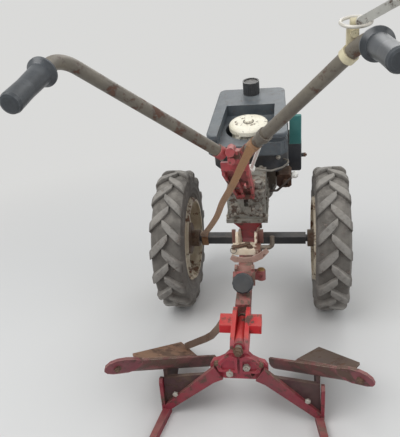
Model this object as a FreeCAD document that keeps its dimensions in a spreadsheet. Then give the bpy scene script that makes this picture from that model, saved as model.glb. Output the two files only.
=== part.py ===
import FreeCAD, Part
import math
import os
import Sketcher
from FreeCAD import Placement, Rotation, Vector

# Two-wheeled walking tractor with a turn-over plough on its hitch.
# The row frame has +Y forwards, +X to the driver's right and +Z up from the floor.
# Chassis pieces are drawn level about the axle and pitched nose-up with it, because
# the parked machine leans back until the plough's slides reach the floor.

# Columns: alias, value in millimetres or degrees, meaning
SIZES = (
    ("axle_y", 309.8, "axle forwards of the origin, which is midway along the machine"),
    ("pitch", 15, "chassis nose-up angle when parked, degrees"),
    ("track", 530, "between the tyres' centre planes"),
    ("wheel_radius", 248, "to the lug tips"),
    ("carcass_radius", 234, "tyre crown under the lugs"),
    ("carcass_half", 47, "half the tread's width"),
    ("sidewall_half", 53, "half the tyre's widest section"),
    ("bead_radius", 144, "tyre bead seat"),
    ("bead_half", 43.5, "half the width over the beads"),
    ("tyre_wall", 10, "carcass thickness"),
    ("lug_count", 16, "lugs on each side of a tyre"),
    ("lug_width", 13, "lug tip width round the tyre"),
    ("lug_flare", 5, "how much wider a lug is at its foot"),
    ("lug_sweep", 45, "lug angle to the axle, degrees"),
    ("rim_lip", 58, "inboard edge of the rim ring"),
    ("rim_flange", 151, "rim flange radius"),
    ("rim_wall", 3.5, "rim sheet thickness"),
    ("disc_wall", 5, "wheel disc thickness"),
    ("disc_seat", 29, "disc's flat, inboard of the wheel's centre plane"),
    ("disc_window", 17, "radius of the disc's round windows"),
    ("window_circle", 93, "radius on which the windows lie"),
    ("stud_circle", 42, "radius of the wheel studs' circle"),
    ("hub_nose", 23.5, "hub nose radius inside the disc"),
    ("hub_flange", 57, "hub flange radius"),
    ("hub_barrel", 30, "hub barrel radius"),
    ("hub_end", 74, "hub's inboard end from the wheel's centre plane"),
    ("spindle", 12.5, "spindle radius"),
    ("running", 0.05, "radial running clearance"),
    ("end_gap", 6, "between a turning hub and the beam"),
    ("fit", 0.3, "clearance between curved pieces that lie together"),
    ("beam", 30, "square axle beam"),
    ("casing_width", 50, "final drive casing over the axle"),
    ("casing_head", 100, "final drive casing under the gearbox"),
    ("gearbox_half", 58, "half the gearbox's width"),
    ("gearbox_back", -150, "gearbox rear face"),
    ("gearbox_front", 16, "gearbox front face"),
    ("casing_front", 40, "final drive casing's front face"),
    ("gearbox_low", 190, "gearbox bottom joint"),
    ("gearbox_high", 300, "gearbox top"),
    ("bell_radius", 86, "clutch bell under the engine"),
    ("engine_y", 158, "crankshaft axis forwards of the axle"),
    ("crankcase_low", 138, "crankcase joint on the clutch bell"),
    ("shroud_low", 265, "bottom of the blower shroud"),
    ("shroud_high", 333, "top of the blower shroud"),
    ("shroud_left", -118, "blower shroud left side"),
    ("shroud_right", 128, "blower shroud right side"),
    ("shroud_back", 20, "blower shroud rear face"),
    ("shroud_front", 300, "blower shroud front face"),
    ("tank_high", 414, "tank top"),
    ("tank_back", -3, "tank rear edge"),
    ("tank_front", 353, "tank front edge"),
    ("tank_half_back", 128, "half the tank's width at its rear"),
    ("tank_half_front", 116, "half the tank's width at its front"),
    ("tank_lip", 14, "depth of the tank's upper shell"),
    ("tank_groove", 16, "height of the groove between the tank's shells"),
    ("recess_left", -88, "tank recess left side"),
    ("recess_right", 84, "tank recess right side"),
    ("recess_mouth", 52, "tank recess right side at its open rear"),
    ("recess_front", 213, "tank recess front wall"),
    ("recess_depth", 40, "tank recess depth"),
    ("cap_radius", 29, "filler cap"),
    ("cap_height", 46, "filler cap"),
    ("cap_y", 310, "filler cap forwards of the axle"),
    ("starter_radius", 65, "recoil starter cover"),
    ("starter_y", 116, "recoil starter forwards of the axle"),
    ("starter_seat", 368, "foot of the recoil starter cover"),
    ("starter_height", 32, "recoil starter cover"),
    ("filter_right", 172, "air filter outer side"),
    ("filter_back", 128, "air filter rear face"),
    ("filter_front", 232, "air filter front face"),
    ("filter_slope", 56, "how far the cover's top falls to its front"),
    ("filter_low", 199, "air filter case bottom"),
    ("filter_joint", 304, "joint between case and cover"),
    ("filter_high", 409, "air filter cover top"),
    ("bar_radius", 14, "handlebar tube"),
    ("bar_wall", 2.5, "handlebar tube wall"),
    ("bar_root", 27, "handlebar tube's root beside the clamp's middle"),
    ("head_y", -470, "clamp head behind the axle"),
    ("head_rise", 437, "clamp head above the axle"),
    ("grip_radius", 19.5, "rubber grip"),
    ("grip_length", 128, "rubber grip"),
    ("grip_flange", 28, "grip's guard ring radius"),
    ("bar_bend", 62, "handlebar tube's bend radius"),
    ("column_half", 35, "half the column's width at its head"),
    ("column_foot", 27, "half the column's width at its foot"),
    ("column_rib", 7, "column's flange and rib width"),
    ("hitch_plate", 8, "hitch cheek thickness"),
    ("cross_half", 43, "half the hitch cross plate"),
    ("cross_back", -286, "hitch cross plate rear edge"),
    ("cross_front", -232, "hitch cross plate front edge"),
    ("cross_rise", 74, "hitch cross plate underside above the axle"),
    ("cross_wall", 18, "hitch cross plate thickness"),
    ("pin_bore", 8, "free pin hole radius in the hitch cross plate"),
    ("pin_x", -30, "pin hole from the middle plane"),
    ("pin_y", -270, "pin hole behind the axle"),
    ("coupling_half", 20, "half the coupling's width"),
    ("knob_radius", 28.5, "screw knob over its flats"),
    ("knob_length", 30, "screw knob"),
    ("turn_drop", 38, "plough's turning axis below the axle"),
    ("turn_front", -452, "front end of the turning tube"),
    ("turn_back", -588, "rear end of the turning tube"),
    ("turn_shaft", 9, "turning shaft radius"),
    ("turn_tube", 14.5, "turning tube radius"),
    ("cheek_wall", 11, "plough head cheek thickness"),
    ("yoke_wall", 14, "plough yoke plate thickness"),
    ("yoke_back", -602, "plough yoke plate rear face"),
    ("yoke_reach", 86, "plough yoke plate's bottom below the turning axis"),
    ("yoke_half", 60, "half the plough yoke plate's width"),
    ("gauge_bore", 5.5, "free hole radius in the yoke plate"),
    ("leg_wall", 12, "plough leg thickness"),
    ("leg_drop", 33, "plough leg depth"),
    ("foot_x", 193, "where a leg meets its slide"),
    ("slide_width", 14, "landside slide"),
    ("slide_height", 20, "landside slide"),
    ("slide_back", -790, "slide's rear end"),
    ("board_wall", 6, "mouldboard thickness"),
    ("share_wall", 8, "share thickness"),
    ("lever_wall", 5, "clutch lever thickness"),
    ("handle_wall", 6, "turnover handle thickness"),
    ("handle_half", 10, "half the turnover handle's width"),
    ("strap_width", 22, "tie strap width"),
    ("strap_wall", 3, "tie strap thickness"),
)


class Size:
    """A measure that carries its value and its formula over the sheet's cells."""

    def __init__(self, value, text):
        self.value = float(value)
        self.text = text

    @staticmethod
    def both(other):
        if isinstance(other, Size):
            return other.value, other.text
        return float(other), "({!r})".format(float(other))

    def __float__(self):
        return self.value

    def __add__(self, other):
        value, text = Size.both(other)
        return Size(self.value + value, "({} + {})".format(self.text, text))

    def __sub__(self, other):
        value, text = Size.both(other)
        return Size(self.value - value, "({} - {})".format(self.text, text))

    def __mul__(self, other):
        value, text = Size.both(other)
        return Size(self.value * value, "({} * {})".format(self.text, text))

    def __truediv__(self, other):
        value, text = Size.both(other)
        return Size(self.value / value, "({} / {})".format(self.text, text))

    def __radd__(self, other):
        return self + other

    def __rmul__(self, other):
        return self * other

    def __rsub__(self, other):
        return self * -1 + other

    def __neg__(self):
        return self * -1


doc = FreeCAD.newDocument("WalkingTractor")
sheet = doc.addObject("Spreadsheet::Sheet", "Sizes")
for row, (alias, value, meaning) in enumerate(SIZES, start=1):
    sheet.set("A{}".format(row), alias)
    sheet.set("B{}".format(row), str(value))
    sheet.set("C{}".format(row), meaning)
    sheet.setAlias("B{}".format(row), alias)
doc.recompute()


class Measures:
    """The sheet's cells by name."""


S = Measures()
for alias, value, meaning in SIZES:
    setattr(S, alias, Size(sheet.get(alias), "Sizes." + alias))

# Heights above the floor that follow from the sizes
S.head_z = S.wheel_radius + S.head_rise
S.cross_low = S.wheel_radius + S.cross_rise
S.cross_high = S.cross_low + S.cross_wall
S.turn_z = S.wheel_radius - S.turn_drop
S.yoke_low = S.turn_z - S.yoke_reach
# The clamp head's place in the pitched chassis frame
COSINE = Size(math.cos(math.radians(float(S.pitch))), "cos(Sizes.pitch * 1 deg)")
SINE = Size(math.sin(math.radians(float(S.pitch))), "sin(Sizes.pitch * 1 deg)")
S.head_back = S.head_y * COSINE + S.head_rise * SINE
S.head_up = S.head_rise * COSINE - S.head_y * SINE

PIECES = []
PLANES = {"XY": "XY_Plane", "XZ": "XZ_Plane", "YZ": "YZ_Plane"}


# Binding, frames and features

def bind(obj, path, size):
    """Ties a property to its formula, or sets a plain number."""
    obj.setExpression(path, Size.both(size)[1])


def vec(x, y, z):
    return Vector(float(x), float(y), float(z))


def by_axle(x, y, z):
    """A point drawn from the axle's middle, in the frame on the floor below it."""
    return vec(x, y, S.wheel_radius + z)


def by_head(x, y, z):
    """A point drawn from the clamp head."""
    return vec(x, S.head_y + y, S.head_z + z)


def seat(obj, frame):
    """Places a piece by the frame that it was drawn in, all of them about the axle."""
    bind(obj, "Placement.Base.y", S.axle_y)
    if frame == "chassis":
        bind(obj, "Placement.Base.z", S.wheel_radius)
        obj.setExpression("Placement.Rotation.Axis.x", "1")
        obj.setExpression("Placement.Rotation.Axis.z", "0")
        obj.setExpression("Placement.Rotation.Angle", S.pitch.text + " * 1 deg")
    if frame == "wheel":
        bind(obj, "Placement.Base.x", -S.track / 2)
        bind(obj, "Placement.Base.z", S.wheel_radius)


def piece(obj, label, frame=None):
    """Names a finished piece, seats it and lists it for writing out."""
    obj.Label = label
    if frame:
        seat(obj, frame)
    PIECES.append(obj)
    return obj


def new_body(name):
    return doc.addObject("PartDesign::Body", name)



def sketch(body, plane, at, outline=(), circles=()):
    """A sketch on one of the body's own planes, at a distance along that plane's axis.

    outline holds (across, up) corners, circles hold (across, up, radius)."""
    drawing = body.newObject("Sketcher::SketchObject", body.Name + "Sketch")
    role = PLANES[plane]
    drawing.AttachmentSupport = [([f for f in body.Origin.OriginFeatures if f.Role == role][0], "")]
    drawing.MapMode = "FlatFace"
    bind(drawing, "AttachmentOffset.Base.z", -Size(*Size.both(at)) if plane == "XZ" else at)
    corners = [vec(u, v, 0) for u, v in outline]
    for start, end in zip(corners, corners[1:] + corners[:1]):
        drawing.addGeometry(Part.LineSegment(start, end), False)
    for index in range(len(corners)):
        after = (index + 1) % len(corners)
        drawing.addConstraint(Sketcher.Constraint("Coincident", index, 2, after, 1))
    for index, (u, v) in enumerate(outline):
        pin_point(drawing, index, 1, u, v)
    for u, v, radius in circles:
        index = drawing.addGeometry(Part.Circle(vec(u, v, 0), Vector(0, 0, 1), float(radius)), False)
        pin_point(drawing, index, 3, u, v)
        number = drawing.addConstraint(Sketcher.Constraint("Radius", index, float(radius)))
        bind(drawing, "Constraints[{}]".format(number), radius)
    return drawing


def pin_point(drawing, index, end, u, v):
    """Holds a sketch point at its distances from the origin."""
    for kind, size, axis in (("DistanceX", u, -2), ("DistanceY", v, -1)):
        if not isinstance(size, Size) and size == 0:
            drawing.addConstraint(Sketcher.Constraint("PointOnObject", index, end, axis))
            continue
        number = drawing.addConstraint(Sketcher.Constraint(kind, -1, 1, index, end, float(size)))
        bind(drawing, "Constraints[{}]".format(number), size)


def pad(body, plane, at, depth, outline=(), circles=()):
    """Adds material from the plane at one distance, along its positive axis."""
    feature = body.newObject("PartDesign::Pad", body.Name + "Pad")
    feature.Profile = sketch(body, plane, at, outline, circles)
    bind(feature, "Length", depth)
    feature.Reversed = plane == "XZ"
    return feature


def pocket(body, plane, at, depth, outline=(), circles=()):
    """Cuts material from the plane at one distance, along its positive axis."""
    feature = body.newObject("PartDesign::Pocket", body.Name + "Pocket")
    feature.Profile = sketch(body, plane, at, outline, circles)
    bind(feature, "Length", depth)
    feature.Reversed = plane != "XZ"
    return feature


def turn(body, axis, outline):
    """Revolves an outline about the body's X, Y or Z axis.

    For X and Y the corners are (along, radius), for Z they are (radius, up)."""
    feature = body.newObject("PartDesign::Revolution", body.Name + "Turn")
    drawing = sketch(body, "YZ" if axis == "Y" else "XZ", 0, outline)
    feature.Profile = drawing
    feature.ReferenceAxis = (drawing, ["V_Axis" if axis == "Z" else "H_Axis"])
    feature.Angle = 360
    return feature


def round_edges(body, radius, pick):
    """Rounds the body's edges that pick chooses."""
    doc.recompute()
    base = body.Tip
    names = ["Edge{}".format(i) for i, edge in enumerate(base.Shape.Edges, start=1) if pick(edge)]
    feature = body.newObject("PartDesign::Fillet", body.Name + "Fillet")
    feature.Base = (base, names)
    bind(feature, "Radius", radius)
    return feature


def along(axis):
    """Chooses straight edges that run along an axis."""
    def pick(edge):
        if not isinstance(edge.Curve, Part.Line):
            return False
        return abs(edge.tangentAt(edge.FirstParameter).dot(axis)) > 0.999
    return pick


def plate(label, plane, at, depth, outline, frame, circles=()):
    """A flat piece cut to an outline."""
    body = new_body(label)
    pad(body, plane, at, depth, outline, circles)
    return piece(body, label, frame)


def shape_piece(label, shape, frame):
    """A piece whose form is drawn in code, from the same sizes."""
    feature = doc.addObject("Part::Feature", label)
    feature.Shape = shape
    return piece(feature, label, frame)


def trimmed(label, shape, frame, neighbours):
    """A piece drawn in code and cut back to the faces of the pieces that it meets."""
    cut = doc.addObject("Part::Feature", label + "_raw")
    cut.Shape = shape
    seat(cut, frame)
    for neighbour in neighbours:
        step = doc.addObject("Part::Cut", label + "_cut")
        step.Base = cut
        step.Tool = neighbour
        cut = step
    return piece(cut, label)


def skin(rings):
    """Flat loops that close a run of four-cornered rings."""
    loops = []
    for ring in (rings[0], rings[-1]):
        loops += [(ring[0], ring[1], ring[2]), (ring[0], ring[2], ring[3])]
    for near, far in zip(rings, rings[1:]):
        for i in range(4):
            j = (i + 1) % 4
            loops += [(near[i], near[j], far[j]), (near[i], far[j], far[i])]
    return loops


def strip_shape(stations, wall):
    """A flat bar or strap through stations, each a centre and a half-width vector."""
    middles = [centre for centre, across in stations]
    rings = []
    for index, (centre, across) in enumerate(stations):
        ahead = middles[min(index + 1, len(middles) - 1)] - middles[max(index - 1, 0)]
        rise = ahead.cross(across).normalize() * (wall / 2)
        rings.append([centre - across - rise, centre + across - rise, centre + across + rise, centre - across + rise])
    return facets(skin(rings))


def mirrored(source, label):
    """The same piece on the machine's other side."""
    twin = doc.addObject("Part::Mirroring", label)
    twin.Source = source
    twin.Normal = Vector(1, 0, 0)
    return piece(twin, label)


def bent_wire(points, radii):
    """Straight runs joined by tangent arcs at the inner points."""
    edges = []
    start = points[0]
    for before, corner, after, radius in zip(points, points[1:], points[2:], radii):
        towards = (before - corner).normalize()
        away = (after - corner).normalize()
        half = (math.pi - towards.getAngle(away)) / 2
        reach = radius * math.tan(half)
        middle = (towards + away).normalize()
        centre = corner + middle * (radius / math.cos(half))
        arc_start = corner + towards * reach
        arc_end = corner + away * reach
        edges.append(Part.LineSegment(start, arc_start).toShape())
        edges.append(Part.Arc(arc_start, centre - middle * radius, arc_end).toShape())
        start = arc_end
    edges.append(Part.LineSegment(start, points[-1]).toShape())
    return Part.Wire(edges)


def rod_shape(points, radii, radius, bore=0.0):
    """A round rod or tube along a bent wire."""
    wire = bent_wire(points, radii)
    heading = points[1] - points[0]
    rings = [Part.Wire(Part.makeCircle(r, points[0], heading)) for r in (radius, bore) if r > 0]
    solids = [wire.makePipe(Part.Face(ring)) for ring in rings]
    return solids[0].cut(solids[1]) if bore else solids[0]


def facets(loops):
    """A closed solid from its flat corner loops."""
    faces = [Part.Face(Part.makePolygon(list(loop) + [loop[0]])) for loop in loops]
    return Part.Solid(Part.Shell(faces))


# Wheels, drawn about the wheel's own centre with the machine's middle towards +X

def flipped(points):
    """The same points on the other side of the middle plane, in reverse order."""
    return [(-x if isinstance(x, Size) else -float(x) or 0, r) for x, r in reversed(points)]


def tyre():
    body = new_body("carcass")
    r_out, r_bead, wall = S.carcass_radius, S.bead_radius, S.tyre_wall
    wide, tread, bead = S.sidewall_half, S.carcass_half, S.bead_half
    crown = r_out - 3
    belly = r_bead + (r_out - r_bead) * 0.55
    outer = [(bead, r_bead), (bead, S.rim_flange + 1), (wide - 3, r_bead + 16), (wide, belly), (wide - 1, r_out - 18),
             (tread, crown - 4), (tread - 22, r_out - 1), (0, r_out)]
    inner = [(0, r_out - wall), (tread - wall - 4, r_out - wall - 3), (wide - wall, belly),
             (wide - wall - 4, r_bead + 18), (bead - wall, r_bead)]
    # Round the outside from bead to bead, then back along the inside
    turn(body, "X", outer + flipped(outer[:-1]) + flipped(inner) + inner[1:])
    return body


def lug(sign, angle):
    """One bar lug from the tyre's middle to its shoulder, as flat facets."""
    tip, foot = float(S.wheel_radius), float(S.carcass_radius) - 6
    low_foot = float(S.carcass_radius) - 26
    shoulder = float(S.carcass_half) + 4
    lead = math.tan(math.radians(float(S.lug_sweep)))
    width, flare = float(S.lug_width), float(S.lug_flare)
    # Columns: distance from the middle plane, tip radius, sunk foot radius
    stations = ((2.0, tip, foot), (shoulder * 0.45, tip, foot), (shoulder * 0.86, tip, foot - 4),
                (shoulder, tip - 17, low_foot))
    rings = []
    for x, top, bottom in stations:
        middle = angle + lead * x / tip
        ring = []
        for radius, half in ((bottom, width / 2 + flare), (top, width / 2)):
            spread = half / math.cos(math.radians(float(S.lug_sweep))) / tip
            pair = [(middle - spread, radius), (middle + spread, radius)]
            ring += pair if radius < top else pair[::-1]
        rings.append([Vector(sign * x, r * math.sin(a), -r * math.cos(a)) for a, r in ring])
    return facets(skin(rings))


def lugs():
    count = int(float(S.lug_count))
    step = 2 * math.pi / count
    # The lugs lie half a step apart on the two sides, their inner ends leading
    bars = [lug(side, (i + (0.5 if side > 0 else 0.0)) * step) for side in (-1, 1) for i in range(count)]
    feature = doc.addObject("Part::Feature", "lug_bars")
    feature.Shape = Part.Compound(bars)
    return feature


def wheel():
    """The left wheel's tyre, rim and hub."""
    shod = doc.addObject("Part::MultiFuse", "shod_tyre")
    shod.Shapes = [tyre(), lugs()]
    piece(shod, "tyre_left", "wheel")

    rim = new_body("rim")
    seat_r = S.bead_radius - S.fit
    half = S.bead_half + S.fit
    wall = S.rim_wall
    turn(rim, "X", [(-half - wall, S.rim_flange), (-half, S.rim_flange), (-half, seat_r), (half, seat_r),
                    (half, S.rim_flange), (half + wall, S.rim_flange), (half + wall + 3, seat_r + 1.5),
                    (S.rim_lip, seat_r), (S.rim_lip, seat_r - 9), (half + 3, seat_r - wall),
                    (-half - wall, seat_r - wall)])
    inner = seat_r - wall
    flat = S.disc_seat
    turn(rim, "X", [(8, inner + 1), (8 + S.disc_wall, inner + 1), (flat + S.disc_wall, 66),
                    (flat + S.disc_wall, S.hub_nose + S.fit), (flat, S.hub_nose + S.fit), (flat, 66)])
    windows = pocket(rim, "YZ", -20, 90, circles=[(S.window_circle, 0, S.disc_window)])
    ring = rim.newObject("PartDesign::PolarPattern", "windows")
    ring.Originals = [windows]
    ring.Axis = ([f for f in rim.Origin.OriginFeatures if f.Role == "X_Axis"][0], [""])
    ring.Angle = 360
    ring.Occurrences = 6
    rim.Tip = ring
    piece(rim, "rim_left", "wheel")

    hub = new_body("hub")
    back = flat + S.disc_wall
    bore = S.spindle + S.running
    turn(hub, "X", [(-26, 0), (-26, S.hub_nose - 3), (-23, S.hub_nose), (back, S.hub_nose), (back, S.hub_flange),
                    (back + 9, S.hub_flange), (back + 12, S.hub_barrel), (S.hub_end, S.hub_barrel),
                    (S.hub_end, bore), (-21, bore), (-21, 0)])
    stud = pad(hub, "YZ", flat - 12, back + 2 - (flat - 12), circles=[(S.stud_circle, 0, 6)])
    nut_ring = hub.newObject("PartDesign::PolarPattern", "studs")
    nut_ring.Originals = [stud]
    nut_ring.Axis = ([f for f in hub.Origin.OriginFeatures if f.Role == "X_Axis"][0], [""])
    nut_ring.Angle = 360
    nut_ring.Occurrences = 5
    hub.Tip = nut_ring
    piece(hub, "hub_left", "wheel")

    # The disc is drilled where the hub's studs pass through it
    holes = pocket(rim, "YZ", flat - 5, S.disc_wall + 10, circles=[(S.stud_circle, 0, 6 + S.fit)])
    drilled = rim.newObject("PartDesign::PolarPattern", "stud_holes")
    drilled.Originals = [holes]
    drilled.Axis = ring.Axis
    drilled.Angle = 360
    drilled.Occurrences = 5
    rim.Tip = drilled
    for source, label in ((shod, "tyre_right"), (rim, "rim_right"), (hub, "hub_right")):
        mirrored(source, label)


# Axle, final drive and gearbox, in the pitched chassis frame

def axle_beam():
    body = new_body("axle_beam")
    reach = S.track / 2 - S.hub_end - S.end_gap
    half = S.beam / 2
    pad(body, "YZ", -reach, reach * 2, [(-half, -half), (half, -half), (half, half), (-half, half)])
    end = S.track / 2 + 18
    pad(body, "YZ", -end, end * 2, circles=[(0, 0, S.spindle)])
    return piece(body, "axle_beam", "chassis")


def final_drive():
    """Narrow casing from the gearbox down round the axle, flared to a flange at its top."""
    side = new_body("casing_side")
    top = S.gearbox_low
    pad(side, "YZ", -S.casing_head / 2, S.casing_head,
        [(S.gearbox_back + 8, top), (S.gearbox_back + 12, top - 12), (-112, 92), (-46, -22), (-26, -44), (22, -44),
         (S.casing_front, -26), (S.casing_front, top)])
    front = new_body("casing_front")
    narrow, wide = S.casing_width / 2, S.casing_head / 2
    pad(front, "XZ", -400, 800,
        [(-wide, top), (-wide, top - 10), (-narrow, top - 46), (-narrow, -60), (narrow, -60), (narrow, top - 46),
         (wide, top - 10), (wide, top)])
    both = doc.addObject("Part::Common", "casing_both")
    both.Base = side
    both.Tool = front
    hole = doc.addObject("Part::Box", "beam_hole")
    bind(hole, "Length", S.casing_head)
    bind(hole, "Width", S.beam)
    bind(hole, "Height", S.beam)
    bind(hole, "Placement.Base.x", -S.casing_head / 2)
    bind(hole, "Placement.Base.y", -S.beam / 2)
    bind(hole, "Placement.Base.z", -S.beam / 2)
    cut = doc.addObject("Part::Cut", "casing")
    cut.Base = both
    cut.Tool = hole
    piece(cut, "final_drive", "chassis")


def gearbox():
    body = new_body("gearbox_case")
    back, front, low, high = S.gearbox_back, S.gearbox_front, S.gearbox_low, S.gearbox_high
    half = S.gearbox_half
    pad(body, "YZ", -half, half * 2,
        [(back, low), (front, low), (front, high - 20), (front - 24, high), (back, high)])
    round_edges(body, 9, along(Vector(0, 0, 1)))
    # Bottom joint flange
    pad(body, "XY", low, 14, [(-half - 6, back - 8), (half + 6, back - 8), (half + 6, front), (-half - 6, front)])
    # Two bearing bosses on the rear face, and the dark slot of the shift gate between them
    pad(body, "XZ", back - 12, 40, circles=[(-34, high - 58, 19), (34, high - 58, 19)])
    pocket(body, "XZ", back - 20, 34, [(-6, high - 54), (7, high - 54), (7, high - 20), (-6, high - 20)])
    # Filler neck on the top, and stiffening ribs on both sides
    pad(body, "XY", high - 5, 30, circles=[(40, back + 24, 12)])
    for y in (-112, -76, -40, -8):
        pad(body, "YZ", -half - 5, half * 2 + 10,
            [(y, low + 8), (y + 7, low + 8), (y + 7, high - 44), (y, high - 44)])
    piece(body, "gearbox", "chassis")


def clutch_bell():
    """Turned housing under the engine, with its neck back to the final drive."""
    body = new_body("bell")
    low, top = 66, S.crankcase_low
    pad(body, "XY", top - 14, 14, circles=[(0, S.engine_y, S.bell_radius)])
    pad(body, "XY", top - 46, 46, circles=[(0, S.engine_y, S.bell_radius - 14)])
    pad(body, "XY", low, 40, circles=[(0, S.engine_y, 46)])
    pad(body, "YZ", -34, 68, [(S.casing_front, low + 4), (S.engine_y, low + 4), (S.engine_y, top), (S.casing_front, top)])
    piece(body, "clutch_bell", "chassis")


def engine():
    """Crankcase as one plain block, with the finned cylinder towards the front and the carburettor behind."""
    body = new_body("crankcase")
    low, top = S.crankcase_low, S.shroud_low
    y = S.engine_y
    pad(body, "XY", low, top - low, [(-74, y - 72), (74, y - 72), (74, y + 70), (-74, y + 70)])
    round_edges(body, 22, along(Vector(0, 0, 1)))
    pad(body, "XY", low, 12, circles=[(0, y, S.bell_radius)])
    pad(body, "XZ", y + 60, 96, [(-40, low + 26), (40, low + 26), (40, top - 8), (-40, top - 8)])
    for i in range(8):
        pad(body, "XZ", y + 76 + i * 10, 4, [(-58, low + 12), (58, low + 12), (58, top), (-58, top)])
    pad(body, "XZ", y + 156, 22, [(-50, low + 18), (50, low + 18), (50, top - 4), (-50, top - 4)])
    # Carburettor and its float bowl on the crankcase's rear face
    pad(body, "XY", 196, 52, [(26, 50), (84, 50), (84, y - 64), (26, y - 64)])
    pad(body, "XY", 162, 36, circles=[(50, 66, 16)])
    piece(body, "engine_block", "chassis")


def shroud():
    body = new_body("blower_shroud")
    left, right, back, front = S.shroud_left, S.shroud_right, S.shroud_back, S.shroud_front
    low, high = S.shroud_low, S.shroud_high
    pad(body, "XY", low, high - low,
        [(left + 40, back), (right - 30, back), (right, back + 40), (right, front - 50),
         (right - 50, front), (left + 50, front), (left, front - 50), (left, back + 50)])
    round_edges(body, 24, along(Vector(0, 0, 1)))
    round_edges(body, 10, lambda edge: edge.CenterOfMass.z > float(high) - 0.01)
    return piece(body, "blower_shroud", "chassis")


def tank():
    """Moulded tank that wraps the starter: a deep recess open to the rear."""
    body = new_body("fuel_tank")
    high, lip = S.tank_high, S.tank_lip
    back, front = S.tank_back, S.tank_front
    rear, nose = S.tank_half_back, S.tank_half_front
    pad(body, "XY", high - lip, lip, [(-rear, back), (rear, back), (nose, front), (-nose, front)])
    round_edges(body, 24, along(Vector(0, 0, 1)))
    low = S.shroud_high
    inset = 10
    pad(body, "XY", low + 20, high - lip - low - 20,
        [(-rear + inset, back + inset), (rear - inset, back + inset), (nose - inset, front - inset),
         (-nose + inset, front - inset)])
    pad(body, "XY", low, high - lip - S.tank_groove - low,
        [(-rear + 22, back + 2), (rear - 22, back + 2), (rear - 1, back + 22), (nose - 1, front - 22),
         (nose - 22, front - 2), (-nose + 22, front - 2), (-nose + 1, front - 22), (-rear + 1, back + 22)])
    round_edges(body, 8, lambda edge: edge.CenterOfMass.z < float(low) + 0.01)
    round_edges(body, 5, lambda edge: edge.CenterOfMass.z > float(high) - 0.01)
    # The recess round the starter, open to the rear, its right arm hooked round the cover
    mouth = back - 30
    pocket(body, "XY", high - S.recess_depth, S.recess_depth + 5,
           [(S.recess_left - 6, mouth), (S.recess_mouth, mouth), (S.recess_mouth, back + 27),
            (S.recess_right, back + 60), (S.recess_right, S.recess_front), (S.recess_left + 8, S.recess_front)])
    pocket(body, "XY", low - 5, high - low + 10, circles=[(0, S.starter_y, S.starter_radius + 12)])
    piece(body, "fuel_tank", "chassis")


def fuel_cap():
    body = new_body("fuel_cap")
    base = S.tank_high
    top = base + S.cap_height
    pad(body, "XY", base, S.cap_height, circles=[(0, S.cap_y, S.cap_radius)])
    doc.recompute()
    groove = pocket(body, "XY", base - 1, S.cap_height - 3, circles=[(S.cap_radius + 0.8, S.cap_y, 2.2)])
    flutes = body.newObject("PartDesign::PolarPattern", "flutes")
    flutes.Originals = [groove]
    axis = body.newObject("PartDesign::Line", "cap_axis")
    axis.MapMode = "Deactivated"
    axis.Placement = Placement(vec(0, S.cap_y, 0), Rotation())
    bind(axis, "Placement.Base.y", S.cap_y)
    flutes.Axis = (axis, [""])
    flutes.Angle = 360
    flutes.Occurrences = 24
    body.Tip = flutes
    pocket(body, "XY", top - 3, 5, circles=[(0, S.cap_y, S.cap_radius - 5)])
    piece(body, "fuel_cap", "chassis")


def starter():
    """Domed recoil starter cover on three ears."""
    body = new_body("starter_dome")
    r, tall = S.starter_radius, S.starter_height
    turn(body, "Z", [(0, 6), (r - 3, 6), (r, 10), (r, tall - 9), (r - 4, tall - 4), (r - 14, tall - 1), (14, tall),
                     (12, tall + 6), (0, tall + 6)])
    ear = pad(body, "XY", 0, 9, circles=[(r - 2, 0, 9)])
    ears = body.newObject("PartDesign::PolarPattern", "ears")
    ears.Originals = [ear]
    ears.Axis = ([f for f in body.Origin.OriginFeatures if f.Role == "Z_Axis"][0], [""])
    ears.Angle = 360
    ears.Occurrences = 3
    body.Tip = ears
    ring = doc.addObject("Part::Fuse", "starter_seat")
    neck = doc.addObject("Part::Cylinder", "starter_neck")
    bind(neck, "Radius", S.starter_radius - 8)
    bind(neck, "Height", S.starter_seat - S.shroud_high + 8)
    bind(neck, "Placement.Base.z", S.shroud_high - S.starter_seat)
    ring.Base = body
    ring.Tool = neck
    tilt = Rotation(Vector(1, 0, 0), float(S.pitch))
    above = tilt.multVec(vec(0, S.starter_y, S.starter_seat))
    ring.Placement = Placement(vec(0, S.axle_y, S.wheel_radius) + above, tilt)
    piece(ring, "starter_cover")


def air_filter():
    left, right = S.shroud_right, S.filter_right
    back, front = S.filter_back, S.filter_front
    case = new_body("air_filter_case")
    pad(case, "XY", S.filter_low, S.filter_joint - S.filter_low,
        [(left, back), (right, back), (right, front), (left, front)])
    round_edges(case, 7, lambda edge: edge.CenterOfMass.x > float(right) - 0.01
                and edge.CenterOfMass.z < float(S.filter_joint) - 1)
    bolt_z = S.filter_joint - 60
    pad(case, "YZ", right, 8, circles=[(back + 30, bolt_z, 7)])
    piece(case, "air_filter_case", "chassis")
    cover = new_body("air_filter_cover")
    inner, high = S.tank_half_back + 4, S.filter_high
    pad(cover, "YZ", inner, right - 1 - inner,
        [(back, S.filter_joint), (front, S.filter_joint), (front, high - S.filter_slope), (back + 8, high), (back, high - 3)])
    round_edges(cover, 5, lambda edge: edge.CenterOfMass.z > float(S.filter_joint) + 1
                and edge.CenterOfMass.x > float(right) - 2)
    piece(cover, "air_filter_cover", "chassis")


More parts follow.
